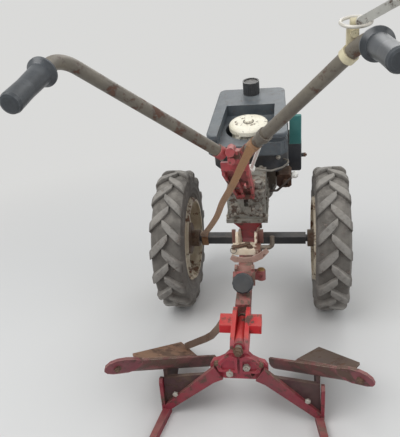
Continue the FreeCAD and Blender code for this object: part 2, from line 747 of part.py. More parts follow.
def exhaust():
    """Rusty box silencer behind the air filter, its tail pipe to the rear."""
    body = new_body("silencer_box")
    pad(body, "XZ", 62, 60, [(96, 172), (130, 172), (138, 180), (138, 218), (130, 226), (96, 226), (88, 218), (88, 180)])
    round_edges(body, 4, lambda edge: edge.CenterOfMass.y < 62.5 or edge.CenterOfMass.y > 121.5)
    pad(body, "XZ", 44, 24, circles=[(118, 196, 11)])
    pocket(body, "XZ", 34, 30, circles=[(118, 196, 8.5)])
    pad(body, "YZ", 74, 18, circles=[(114, 198, 11)])
    piece(body, "silencer", "chassis")


def gear_lever():
    """Ball-topped lever that comes out beside the gearbox."""
    pivot, elbow, tip = vec(S.casing_head / 2, 26, 185), vec(90, 26, 185), vec(148, 40, 238)
    rod = rod_shape([pivot, elbow, tip], [9.0], 4.0)
    shape_piece("gear_lever", rod.fuse(Part.makeSphere(12, tip)), "chassis")


# Handlebars and column

def bar_paths():
    """Root, bend and end of each handlebar tube's centre line."""
    root = S.bar_root
    left = [by_head(-root, 0, 0), by_head(-293, -246, 262), by_head(-305, -423, 207)]
    right = [by_head(root, 0, 0), by_head(262, -246, 259), by_head(281, -423, 237)]
    return left, right


def handlebars():
    for name, path in zip(("left", "right"), bar_paths()):
        tube = rod_shape(path, [float(S.bar_bend)], float(S.bar_radius), float(S.bar_radius - S.bar_wall))
        shape_piece("handlebar_" + name, tube, "ground")
        heading = (path[2] - path[1]).normalize()
        grip = new_body("grip_" + name)
        r, length, inside = S.grip_radius, S.grip_length, S.bar_radius + 0.15
        turn(grip, "Z", [(inside, 0), (S.grip_flange - 2, 0), (S.grip_flange, 2), (S.grip_flange, 6),
                         (S.grip_flange - 3, 9), (r + 1, 14), (r - 1, length * 0.55), (r, length - 8),
                         (r - 2, length - 2), (r - 6, length), (0, length), (0, length - 6),
                         (inside, length - 6)])
        end = path[2] + heading * 7
        start = end - heading * float(S.grip_length)
        grip.Placement = Placement(start + vec(0, S.axle_y, 0), Rotation(Vector(0, 0, 1), heading))
        piece(grip, "grip_" + name)


def clamp_head():
    """Red head that holds both tubes' roots between its two bolted bosses."""
    y, z = float(S.head_y), float(S.head_z)
    parts = [Part.makeBox(30, 30, 32, Vector(-15, y - 14, z - 22.6)),
             Part.makeCylinder(11, 42, Vector(-7, y - 24, z + 9), Vector(0, 1, 0)),
             Part.makeCylinder(9, 24, Vector(-5, y - 20, z - 14), Vector(0, 1, 0))]
    for path in bar_paths():
        parts.append(Part.makeCylinder(float(S.bar_radius) + 2.5, 20, path[0], path[1] - path[0]))
    head = parts[0].multiFuse(parts[1:])
    for path in bar_paths():
        heading = (path[1] - path[0]).normalize()
        head = head.cut(Part.makeCylinder(float(S.bar_radius), 200, path[0], heading))
    # The head stands on the column's top plate
    top = Part.makeBox(200, 20, 40, Vector(-100, y + 4, z - 63))
    return shape_piece("clamp_head", head.cut(top), "ground")


def column():
    """Ribbed steel column from the gearbox's top rear edge up and back to the clamp head."""
    back, high = S.gearbox_back, S.gearbox_high
    wide, narrow, rib = S.column_half, S.column_foot, S.column_rib
    top_y, top_z = S.head_back, S.head_up
    # Seen from behind: the tapered web with its windows, and the flanges with the middle rib
    web = new_body("column_web")
    pad(web, "XZ", -420, 400, [(-narrow, high - 20), (narrow, high - 20), (wide, top_z - 22), (-wide, top_z - 22)])
    pocket(web, "XZ", -430, 420, [(-5, high + 37), (10, high + 37), (12, high + 94)])
    pocket(web, "XZ", -430, 420, [(-narrow + 2, high + 38), (-12, high + 38), (-12, high + 52), (-narrow + 1, high + 52)])
    ribs = new_body("column_ribs")
    for low_x, high_x in ((-narrow, -wide), (narrow - rib, wide - rib), (-8, -4)):
        pad(ribs, "XZ", -420, 400, [(low_x, high - 20), (low_x + rib, high - 20), (high_x + rib, top_z - 22), (high_x, top_z - 22)])
    # Seen from the side: thin web, deep ribs, the foot on the gearbox and the plate under the head
    thin = new_body("column_thin")
    pad(thin, "YZ", -60, 120,
        [(back + 54, high), (back + 54, high + 10), (back + 10, high + 10), (top_y + 9.9, top_z - 40.7),
         (top_y + 9.5, top_z - 26.3), (top_y - 2.1, top_z - 23.2), (top_y - 7.8, top_z - 44.7), (top_y + 3.9, top_z - 47.7),
         (back - 2, high + 1), (back - 10, high - 3), (back - 10, high - 18), (back, high - 18), (back, high)])
    deep = new_body("column_deep")
    pad(deep, "YZ", -60, 120,
        [(back + 10, high + 10), (top_y + 9.9, top_z - 40.7), (top_y - 2.1, top_z - 39.7), (top_y - 5.1, top_z - 57.7),
         (back - 18, high), (back - 10, high - 12), (back, high - 12), (back, high)])
    halves = []
    for side, front in ((thin, web), (deep, ribs)):
        common = doc.addObject("Part::Common", "column_half")
        common.Base, common.Tool = side, front
        halves.append(common)
    whole = doc.addObject("Part::MultiFuse", "column_fused")
    whole.Shapes = halves
    piece(whole, "column", "chassis")


# Hitch

def hitch():
    gap, wall = S.casing_width / 2, S.hitch_plate
    low, high = S.cross_low, S.cross_high
    cheeks = new_body("hitch_sides")
    outline = [(-120, low - 24), (-105, low + 13), (-186, low + 30), (-240, low + 56), (-254, low + 46), (-256, high),
               (S.cross_front, high), (S.cross_front, low - 6)]
    for start in (-gap - wall, gap):
        pad(cheeks, "YZ", start, wall, outline)
    # One plate joins them, so the pair is one weldment
    half = S.cross_half
    pad(cheeks, "XY", low, high - low,
        [(-half, S.cross_back), (half, S.cross_back), (half, S.cross_front), (-half, S.cross_front)])
    pocket(cheeks, "XY", low - 10, high - low + 20, circles=[(S.pin_x, S.pin_y, S.pin_bore)])
    piece(cheeks, "hitch_frame", "ground")


def coupling():
    """Red casting below the cross plate, with the knobbed locking screw."""
    body = new_body("coupling_casting")
    half, low, turn_z = S.coupling_half, S.cross_low, S.turn_z
    pad(body, "YZ", -half, half * 2,
        [(-250, low), (-288, low), (-296, low - 14), (-332, low - 14), (-372, low - 26), (-392, low - 60),
         (-430, low - 66), (S.turn_front, turn_z + 42), (S.turn_front, turn_z - 30), (-430, turn_z - 30),
         (-400, turn_z + 6), (-380, low - 96), (-300, low - 60), (-250, low - 32)])
    # Pin arm on the right, and the two lugs between which the head swivels
    pad(body, "XY", low - 64, 30, circles=[(46, -316, 13)])
    pad(body, "XY", low - 60, 22, [(15, -330), (46, -330), (46, -302), (15, -302)])
    for start_x in (-half - 8, half):
        pad(body, "YZ", start_x, 8, [(-334, low - 50), (-334, low - 8), (-348, low), (-360, low - 8), (-362, low - 50)])
    way = Vector(0, -0.862, 0.507)
    rise = Vector(0, 0.507, 0.862)
    start = by_axle(0, -382, 31)
    screw = doc.addObject("Part::Feature", "lock_screw")
    screw.Shape = Part.makeCylinder(8, 20, start - way * 4, way).fuse(Part.makeCylinder(17, 13, start - way * 4, way))
    # The stop plate that the knob's screw passes through
    stop = Part.makeBox(64, 5, 40, Vector(-32, -2.5, -14))
    stop.Placement = Placement(start - way * 2 + rise * 8, Rotation(Vector(1, 0, 0), -30.5))
    screw.Shape = screw.Shape.fuse(stop)
    fused = doc.addObject("Part::MultiFuse", "coupling_fused")
    fused.Shapes = [body, screw]
    piece(fused, "coupling", "ground")

    side_count = 12
    reach = float(S.knob_radius) / math.cos(math.pi / side_count)
    upright = Placement(start + way * 16, Rotation(Vector(0, 0, 1), way))
    angles = [2 * math.pi * i / side_count for i in range(side_count)]
    ring = [upright.multVec(Vector(reach * math.cos(a), reach * math.sin(a), 0)) for a in angles]
    knob = Part.Face(Part.makePolygon(ring + [ring[0]])).extrude(way * float(S.knob_length))
    rim = [e for e in knob.Edges if (e.CenterOfMass - start).dot(way) > 16 + float(S.knob_length) - 0.01]
    shape_piece("lock_knob", knob.makeChamfer(3, rim), "ground")


def hitch_small():
    lever = new_body("coupling_lever")
    low = S.cross_low
    pad(lever, "XZ", -308, 8,
        [(-40, low + 8), (-46, low - 4), (-32, low - 13.9), (0, low - 13.9), (28, low - 13), (50, low - 2), (70, low + 20),
         (62, low + 30), (40, low + 14), (18, low + 2), (-6, low - 1), (-26, low + 2)])
    piece(lever, "hitch_lever", "ground")
    side = float(S.cross_half)
    level = float(S.cross_low + S.cross_high) / 2
    hook = rod_shape([Vector(side, -252, level), Vector(side + 35, -252, level), Vector(side + 35, -252, level + 37)],
                     [14.0], 7.0)
    shape_piece("hitch_hook", hook, "ground")


# Controls on the bars

def along_bar(path, distance):
    """A point on a handlebar's centre line and the line's heading, before its bend."""
    heading = (path[1] - path[0]).normalize()
    return path[0] + heading * distance, heading


def ring_round(path, start, length, outer):
    """A sleeve round a straight run, bored to lie on the handlebar tube."""
    centre, heading = along_bar(path, start)
    bore = rod_shape(path, [float(S.bar_bend)], float(S.bar_radius))
    return Part.makeCylinder(outer, length, centre, heading), bore


def throttle_rod():
    """White ball-ended rod held on the right-hand bar by a band."""
    path = bar_paths()[1]
    band, bore = ring_round(path, 80, 16, 17.5)
    ball, end = by_head(27.5, 170, -88), by_head(79.4, -35.1, 64.5)
    rod = Part.makeCylinder(5, (end - ball).Length, ball, end - ball)
    solid = rod.multiFuse([band, Part.makeSphere(11, ball)]).cut(bore)
    return shape_piece("throttle_rod", solid, "ground")


def control_cable(shroud_piece, rod_piece):
    """Grey cable from the rod's ball to the blower shroud's rear corner."""
    points = [by_head(38.1, 170, -91.6), by_axle(77, -200, 309), by_axle(111, -60, 278), by_axle(133.4, -53.3, 296.2),
              by_axle(113, -38.9, 300.2)]
    trimmed("control_cable", rod_shape(points, [120.0, 13.0, 8.0], 3.0), "ground", [shroud_piece, rod_piece])


def clutch_control():
    """Cast bracket with its guard hoop on the right-hand bar, and the lever over the grip."""
    path = bar_paths()[1]
    band, bore = ring_round(path, 372, 14, float(S.bar_radius) + 3)
    parts = [Part.makeBox(20, 20, 42, by_head(231, -224, 232)), Part.makeCylinder(8, 26, by_head(236, -216, 283), Vector(1, 0, 0)),
             Part.makeBox(12, 16, 16, by_head(237, -222, 270)), Part.makeCylinder(7, 13, by_head(243, -235, 265), Vector(0, 1, 0))]
    bracket = shape_piece("control_bracket", band.multiFuse(parts).cut(bore), "ground")
    hoop = Part.makeTorus(26, 3, by_head(245, -222, 284), Vector(0, -0.29, 0.957))
    ring = trimmed("guard_hoop", hoop, "ground", [bracket])
    edge = Vector(-3, 0.6, 7.4)
    lever = strip_shape([(by_head(252, -232, 284), edge), (by_head(296, -238, 306), edge),
                         (by_head(316, -262, 318), Vector(0, 2, 7.8)), (by_head(312, -410, 305), Vector(0, -0.7, 8))],
                        float(S.lever_wall))
    pivot = Part.makeCylinder(9, 14, by_head(253, -238, 284), Vector(0, 1, 0))
    trimmed("clutch_lever", lever.fuse(pivot), "ground", [bracket, ring])


def tie_strap(beam, clamp):
    """Slack webbing from the right-hand bar's root down to the beam's left end."""
    path = bar_paths()[1]
    half = float(S.strap_width) / 2
    wall = float(S.strap_wall)
    band, bore = ring_round(path, 30, float(S.strap_width), float(S.bar_radius) + wall)
    across = Vector(0.85, -0.115, -0.515) * half
    flat = Vector(half, 0, 0)
    # The loop lies on the beam beside the left hub
    left = -float(S.track / 2 - S.hub_end - S.end_gap - 4) + half
    run = strip_shape([(by_head(43.6, -38.9, 22.5), across), (by_head(-10, 0, -84), across),
                       (by_axle(-46, -400, 284.5), across), (by_axle(-77.8, -320, 209), across),
                       (by_axle(0.77 * left, -200, 112), across), (by_axle(left + 9, -100, 58), flat),
                       (by_axle(left, -16, 14), flat)], wall)
    outer = float(S.beam) / 2 + wall
    loop = Part.makeBox(2 * half, 2 * outer, 2 * outer, Vector(left - half, -outer, -outer))
    loop.Placement = Placement(vec(0, 0, S.wheel_radius), Rotation(Vector(1, 0, 0), float(S.pitch)))
    strap = run.multiFuse([band, loop]).cut(bore)
    trimmed("tie_strap", strap, "ground", [beam, clamp])


# Plough

def turning_shaft():
    body = new_body("turning_spindle")
    front, back, r = S.turn_front, S.turn_back, S.turn_shaft
    turn(body, "Y", [(back - 16, 0), (back - 16, r), (front - 6, r), (front - 6, r + 6), (front, r + 6), (front, 0)])
    seat(body, "ground")
    bind(body, "Placement.Base.z", S.turn_z)
    piece(body, "turning_shaft")


def plough_head():
    """Cheeks, turning tube, cross yoke and wing blocks as one welded piece."""
    head = new_body("plough_weldment")
    z = S.turn_z
    gap = S.turn_tube - 2
    wall = S.cheek_wall
    front = S.turn_front - 10
    side = [(front, z + 41), (front - 26, z + 45), (S.turn_back + 20, z + 15), (S.yoke_back + S.yoke_wall, z - 8),
            (S.yoke_back + S.yoke_wall, z - 44), (S.turn_back + 40, z - 30), (front, z - 6)]
    pad(head, "YZ", gap, wall, side)
    pad(head, "YZ", -gap - wall, wall, side)
    pad(head, "XZ", S.turn_back, S.turn_front - S.turn_back - 12, circles=[(0, z, S.turn_tube)])
    half, low = S.yoke_half, S.yoke_low
    outer = gap + wall
    pad(head, "XZ", S.yoke_back, S.yoke_wall,
        [(-outer, z - 6), (-outer - 12, z - 20), (-half + 8, z - 29), (-half - 6, z - 33), (-half - 14, low + 40),
         (-half - 14, low + 12), (-half + 2, low + 2), (-half + 24, low), (half - 24, low), (half - 2, low + 2),
         (half + 14, low + 12), (half + 14, low + 40), (half + 6, z - 33), (half - 8, z - 29), (outer + 12, z - 20),
         (outer, z - 6)])
    # Two stop quadrants on the yoke's rear face, hollowed, with a slit between them
    for way in (-1, 1):
        arch = [(3.5, z - 18), (17, z - 12), (half - 24, z - 17), (half - 8, z - 31), (half - 3, z - 46),
                (half - 8, z - 61), (3.5, z - 64)]
        room = [(10, z - 26), (half - 28, z - 24), (half - 16, z - 35), (half - 13, z - 48), (half - 18, z - 56),
                (10, z - 57)]
        pad(head, "XZ", S.yoke_back - 8, 9, [(x * way, up) for x, up in arch])
        pocket(head, "XZ", S.yoke_back - 10, 7, [(x * way, up) for x, up in room])
    for start in (outer, -outer - 32):
        pad(head, "YZ", start, 32,
            [(front - 34, z + 15), (front - 34, z + 41), (front - 72, z + 29), (front - 72, z + 5)])
    pocket(head, "XZ", S.yoke_back - 30, S.turn_front - S.yoke_back + 60,
           circles=[(0, z, S.turn_shaft + S.running)])
    pocket(head, "XZ", S.yoke_back - 30, S.yoke_wall + 60, circles=[(34, low + 14, S.gauge_bore)])
    return piece(head, "plough_head", "ground")


def plough_bodies():
    """Right-hand leg, slide, frog, mouldboard, share and tail plate, and their mirror images."""
    low, drop, foot = S.yoke_low, S.leg_drop, S.foot_x
    back, half, tall = S.yoke_back, S.yoke_half, S.slide_height
    leg = plate("leg_right", "XZ", back - S.leg_wall, S.leg_wall,
                [(half - 18, low + 4), (half + 4, low + 40), (foot + 12, drop - 2), (foot + 10, tall), (foot - 4, tall),
                 (half + 6, low - 8)], "ground")
    # Landside slide, with the heel that stands up beside the frog
    sole = new_body("landside")
    pad(sole, "XY", 0, tall,
        [(foot - 2, back), (foot + S.slide_width + 4, back), (foot + 40, S.slide_back + 6),
         (foot + 36, S.slide_back), (foot + 26, S.slide_back + 4)])
    edge = foot + 12 + S.fit
    pad(sole, "YZ", edge, 9, [(back - 10, 0), (back - 12, low - 18), (back - 4, low - 8), (back + 8, low - 12), (back + 12, 0)])
    slide = piece(sole, "slide_right", "ground")
    inner = [Vector(150, -425, 58), Vector(84, -496, 84), Vector(76, -517, 130)]
    outer = [Vector(287, -570, 143), Vector(268, -655, 185), Vector(262, -680, 233)]
    wall = float(S.board_wall)
    board = shape_piece("mouldboard_right", curved_plate(inner, outer, 0, wall), "ground")
    room = curved_plate(inner, outer, -45, wall + float(S.fit))
    # The share's rear edge is the mouldboard's own lower edge
    share = shape_piece("share_right", share_shape([Vector(215, -336, 36), Vector(307, -532, 135)], (inner, outer)),
                        "ground")
    # Frog plate behind the leg's front face, with the fin that carries the mouldboard
    frog_body = new_body("frog_plate")
    pad(frog_body, "XZ", back, 10,
        [(half + 16, low), (foot - 4, 26), (foot + 12, 32), (foot + 10, low - 8), (half + 26, low + 8)])
    pad(frog_body, "YZ", foot, 10, [(back + 4, 34), (back + 4, 148), (-540, 140), (-470, 66), (-470, 50), (-520, 34)])
    doc.recompute()
    frog = shape_piece("frog_right", frog_body.Shape.cut(room), "ground")
    tail = shape_piece("tail_plate_right", tail_shape(inner[2], outer).cut(room), "ground")
    return [mirrored(source, source.Label.replace("_right", "_left")) for source in (leg, slide, frog, board, share, tail)]


def tail_shape(inner_top, outer):
    """Rounded tail plate that carries the mouldboard's upper edge on, with its adjusting hole."""
    centre = Part.Arc(*outer).toShape().Curve.Center
    behind = (outer[2] - centre).normalize()
    ahead = (outer[2] - inner_top).normalize()
    down = behind.cross(ahead).normalize()
    if down.z > 0:
        down = -down
    origin = outer[2] + behind * (float(S.board_wall) - 1)
    # Columns: distance outwards past the board's end, depth below its upper edge
    outline = ((-34, -8), (-14, -14), (12, -15), (34, -10), (48, 0), (54, 16), (50, 32), (38, 42), (20, 46), (0, 44),
               (-20, 42), (-36, 34), (-42, 18), (-42, 2))
    ring = [origin + ahead * s + down * d for s, d in outline]
    plate = Part.Face(Part.makePolygon(ring + [ring[0]])).extrude(behind * 8)
    hole = Part.makeCylinder(6, 30, origin + ahead * 20 + down * 20 - behind * 10, behind)
    return plate.cut(hole)


def turnover_handle(head, share):
    """Rusty flat bar from the head's left wing block to the left share."""
    across = Vector(0.315, -0.515, -0.797) * float(S.handle_half)
    z = float(S.turn_z)
    bar = strip_shape([(Vector(-48, -508, z + 26), across), (Vector(-64, -506, z - 2), across),
                       (Vector(-84, -498, z - 30), across), (Vector(-102, -484, z - 50), across),
                       (Vector(-172, -424, 88), across), (Vector(-186, -392, 60), across),
                       (Vector(-190, -372, 44), across)], float(S.handle_wall))
    trimmed("turnover_handle", bar, "ground", [head, share])


def curved_plate(inner, outer, near, far):
    """A plate ruled between two arcs, each given by three points, between two offsets behind them."""
    sections = []
    for points in (inner, outer):
        centre = Part.Arc(*points).toShape().Curve.Center
        first, last = ([p + (p - centre).normalize() * offset for p in points] for offset in (near, far))
        edges = [Part.Arc(*first).toShape(), Part.LineSegment(first[2], last[2]).toShape(),
                 Part.Arc(last[2], last[1], last[0]).toShape(), Part.LineSegment(last[0], first[0]).toShape()]
        sections.append(Part.Wire(edges))
    return Part.makeLoft(sections, True, True)


def share_shape(tips, arcs):
    """A flat share between its cutting edge and the lower edge of the mouldboard above it."""
    rings = []
    for tip, arc in zip(tips, arcs):
        centre = Part.Arc(*arc).toShape().Curve.Center
        ahead = (tip - arc[0]).normalize() * float(S.fit) * 3
        behind = arc[0] + (arc[0] - centre).normalize() * float(S.board_wall)
        rings.append([tip, arc[0] + ahead, behind + ahead, tip - Vector(0, 0, float(S.share_wall))])
    return facets(skin(rings))


wheel()
beam = axle_beam()
final_drive()
gearbox()
clutch_bell()
engine()
cowl = shroud()
tank()
fuel_cap()
starter()
air_filter()
exhaust()
gear_lever()
handlebars()
clamp = clamp_head()
column()
hitch()
coupling()
hitch_small()
rod = throttle_rod()
control_cable(cowl, rod)
clutch_control()
tie_strap(beam, clamp)
turning_shaft()
head = plough_head()
twins = plough_bodies()
turnover_handle(head, twins[4])
doc.recompute()

faults = [o.Name for o in doc.Objects if "Invalid" in o.State or "Error" in o.State]
faults += [p.Label for p in PIECES if p.Shape.isNull() or not p.Shape.isValid() or not p.Shape.Solids]
if faults:
    raise SystemExit("failed: " + ", ".join(faults))

os.makedirs("parts", exist_ok=True)
for item in PIECES:
    item.Shape.exportStep("parts/{}.step".format(item.Label))
whole = Part.Compound([item.Shape for item in PIECES]).BoundBox
print("pieces", len(PIECES), "box", [round(v, 2) for v in
      (whole.XMin, whole.XMax, whole.YMin, whole.YMax, whole.ZMin, whole.ZMax)])
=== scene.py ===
"""Looks of a parked walking tractor with its turn-over plough.

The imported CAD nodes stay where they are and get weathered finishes.  Tyres,
fasteners, webbing and small trim are modelled here, in metres, in the same frame.
"""

from __future__ import annotations

import logging
import math
from dataclasses import dataclass, field
from enum import Enum
from functools import cache
from typing import Callable, Iterable, Sequence

import bmesh
import bpy
from mathutils import Matrix, Vector

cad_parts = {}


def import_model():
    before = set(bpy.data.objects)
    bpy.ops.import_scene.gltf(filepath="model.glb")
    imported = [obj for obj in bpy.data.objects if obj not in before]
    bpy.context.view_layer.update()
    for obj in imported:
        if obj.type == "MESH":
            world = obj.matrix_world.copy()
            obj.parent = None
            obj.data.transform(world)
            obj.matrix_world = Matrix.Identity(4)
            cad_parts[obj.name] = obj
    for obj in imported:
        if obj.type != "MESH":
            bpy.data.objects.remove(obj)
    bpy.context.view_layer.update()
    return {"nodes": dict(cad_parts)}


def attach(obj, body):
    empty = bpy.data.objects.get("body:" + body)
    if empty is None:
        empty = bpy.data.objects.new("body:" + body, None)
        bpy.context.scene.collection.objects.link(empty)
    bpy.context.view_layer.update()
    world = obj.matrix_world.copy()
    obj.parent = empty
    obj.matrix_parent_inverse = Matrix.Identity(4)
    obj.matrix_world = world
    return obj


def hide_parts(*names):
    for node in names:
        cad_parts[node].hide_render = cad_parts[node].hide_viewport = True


LOG = logging.getLogger("walking_tractor")
MM = 0.001
ORIGIN = (0.0, 0.0, 0.0)

Shade = str
Colour = tuple[float, float, float, float]
Point = tuple[float, float, float]
Limits = tuple[float, float]
Mesh = bmesh.types.BMesh
Socket = bpy.types.NodeSocket
Sockets = dict[str, Socket]


class Body(Enum):
    """The bodies that pieces ride on."""

    ROOT = "root"
    WHEEL_LEFT = "wheel_left"
    WHEEL_RIGHT = "wheel_right"
    PLOUGH = "plough"


class Side(Enum):
    """The machine's two sides, by the sign of X."""

    LEFT = -1
    RIGHT = 1

    def label(self) -> str:
        """Gives the side's word in the names of pieces."""
        return self.name.lower()

    def wheel(self) -> Body:
        """Gives the wheel on this side."""
        return Body(f"wheel_{self.label()}")

    def outwards(self) -> Vector:
        """Gives the direction away from the machine."""
        return Vector((self.value, 0.0, 0.0))


@dataclass(frozen=True)
class Datum:
    """Where the machine's own drawing frames lie, in millimetres and degrees."""

    axle_y: float = 309.8
    axle_z: float = 248.0
    pitch: float = 15.0
    track: float = 530.0

    def ground(self, x: float, y: float, z: float) -> Vector:
        """Turns a point about the axle on the floor into the scene's metres."""
        return Vector((x, y + self.axle_y, z)) * MM

    def chassis(self, x: float, y: float, z: float) -> Vector:
        """Turns a point of the pitched chassis into the scene's metres."""
        return (self.chassis_way(Vector((x, y, z))) + Vector((0.0, self.axle_y, self.axle_z))) * MM

    def chassis_way(self, way: Vector) -> Vector:
        """Turns a direction of the pitched chassis into the scene's frame."""
        return Matrix.Rotation(math.radians(self.pitch), 3, "X") @ way

    def wheel(self, side: Side, x: float, y: float, z: float) -> Vector:
        """Turns a point about a wheel's centre into the scene's metres.

        Args:
            side: the wheel's side.
            x: distance outwards from the wheel's centre plane.
            y: distance forwards of the axle.
            z: height over the axle.

        Returns:
            The point in the scene's frame.
        """
        return Vector((side.value * (self.track / 2 + x), self.axle_y + y, self.axle_z + z)) * MM


DATUM = Datum()
UP = Vector((0.0, 0.0, 1.0))
REAR = Vector((0.0, -1.0, 0.0))
FORWARD = Vector((0.0, 1.0, 0.0))
LEFT = Side.LEFT.outwards()
RIGHT = Side.RIGHT.outwards()
TAIL_WAY = Vector((-0.202, -0.943, -0.264))
CHASSIS_UP = DATUM.chassis_way(UP)
CHASSIS_REAR = DATUM.chassis_way(REAR)

CHANNEL_TOP = 255
TOE_END, TOE_SLOPE = 0.04045, 12.92
CURVE_LIFT, CURVE_POWER = 0.055, 2.4


def tone(shade: Shade) -> Colour:
    """Turns a colour as seen on a screen into the linear values that shaders use.

    Args:
        shade: red, green and blue as pairs of hexadecimal digits.

    Returns:
        The linear colour with full alpha.
    """
    def channel(value: int) -> float:
        """Decodes one channel."""
        part = value / CHANNEL_TOP
        if part <= TOE_END:
            return part / TOE_SLOPE
        return ((part + CURVE_LIFT) / (1 + CURVE_LIFT)) ** CURVE_POWER
    red, green, blue = map(channel, bytes.fromhex(shade))
    return red, green, blue, 1.0


# Shader groups

MIX_INPUTS = (0, 6, 7)
MIX_RESULT = 2
NOISE_MIDDLE = 0.5


class Graph:
    """A node tree with short calls for the nodes that the finishes need."""

    def __init__(self, tree: bpy.types.NodeTree) -> None:
        """Wraps a material's or group's node tree."""
        self.tree = tree

    def add(self, kind: str, **inputs: object) -> bpy.types.Node:
        """Adds a node and fills its inputs.

        Args:
            kind: the node's type.
            inputs: values or sockets by input name, spaces written as underscores.

        Returns:
            The new node.
        """
        node = self.tree.nodes.new(kind)
        for name, value in inputs.items():
            self.feed(node.inputs[name.replace("_", " ")], value)
        return node

    def feed(self, socket: Socket, value: object) -> None:
        """Links a socket or sets its value.

        Args:
            socket: the input.
            value: another node's output, or a plain value.
        """
        if isinstance(value, Socket):
            self.tree.links.new(value, socket)
        else:
            socket.default_value = value

    def noise(self, vector: object, scale: object, detail: float = 4.0, roughness: float = 0.6) -> Socket:
        """Adds a noise texture and gives its value."""
        node = self.add("ShaderNodeTexNoise", Vector=vector, Scale=scale, Detail=detail, Roughness=roughness)
        return node.outputs[0]

    def math(self, operation: str, *values: object, clamp: bool = False) -> Socket:
        """Adds a math node.

        Args:
            operation: what it does.
            values: one or two values or sockets.
            clamp: keeps the result from 0 to 1.

        Returns:
            The result's socket.
        """
        node = self.tree.nodes.new("ShaderNodeMath")
        node.operation = operation
        node.use_clamp = clamp
        for socket, value in zip(node.inputs, values):
            self.feed(socket, value)
        return node.outputs[0]

    def times(self, first: object, second: object, clamp: bool = False) -> Socket:
        """Multiplies two values."""
        return self.math("MULTIPLY", first, second, clamp=clamp)

    def plus(self, first: object, second: object, clamp: bool = False) -> Socket:
        """Adds two values."""
        return self.math("ADD", first, second, clamp=clamp)

    def minus(self, first: object, second: object) -> Socket:
        """Takes the second value from the first."""
        return self.math("SUBTRACT", first, second)

    def blend(self, share: float, first: object, second: object) -> Socket:
        """Adds two values, with a fixed share of the second."""
        return self.plus(self.times(first, 1.0 - share), self.times(second, share))

    def measure(self, operation: str, *vectors: object) -> Socket:
        """Adds a vector math node.

        Args:
            operation: a length or a dot product.
            vectors: its one or two vectors.

        Returns:
            The socket of the number that it gives.
        """
        node = self.tree.nodes.new("ShaderNodeVectorMath")
        node.operation = operation
        for socket, value in zip(node.inputs, vectors):
            self.feed(socket, value)
        return node.outputs["Value"]

    def parts(self, vector: object) -> Sockets:
        """Splits a vector and gives its parts by their letters."""
        node = self.add("ShaderNodeSeparateXYZ", Vector=vector)
        return {letter: node.outputs[letter] for letter in "XYZ"}

    def span(self, value: object, low: object, high: object) -> Socket:
        """Maps a value between two limits onto 0 to 1, smoothly.

        Args:
            value: the value.
            low: where 0 lies.
            high: where 1 lies.

        Returns:
            The mapped value's socket.
        """
        node = self.add("ShaderNodeMapRange", Value=value, From_Min=low, From_Max=high)
        node.interpolation_type = "SMOOTHSTEP"
        return node.outputs["Result"]

    def mix(self, factor: object, first: object, second: object) -> Socket:
        """Mixes two colours.

        Args:
            factor: the second one's share.
            first: a colour or its socket.
            second: a colour or its socket.

        Returns:
            The mixed colour's socket.
        """
        node = self.tree.nodes.new("ShaderNodeMix")
        node.data_type = "RGBA"
        for index, value in zip(MIX_INPUTS, (factor, first, second)):
            self.feed(node.inputs[index], value)
        return node.outputs[MIX_RESULT]


class Group(Enum):
    """The effects that several finishes share."""

    FADING = "Fading"
    CHIPPING = "Chipping"
    DUSTING = "Dusting"
    GRAIN = "Grain"
    WEBBING = "Webbing"
    EDGES = "Edge wear"


SOCKET_KINDS = {
    "NodeSocketVector": ("Vector",),
    "NodeSocketColor": ("Color", "Paint", "Faded", "Bare", "Dust", "Edge", "Yarn", "Gap"),
    "NodeSocketFloat": ("Scale", "Spread", "Amount", "Pits", "Width", "Count", "Mask", "Height"),
}
KIND_OF = {label: kind for kind, labels in SOCKET_KINDS.items() for label in labels}


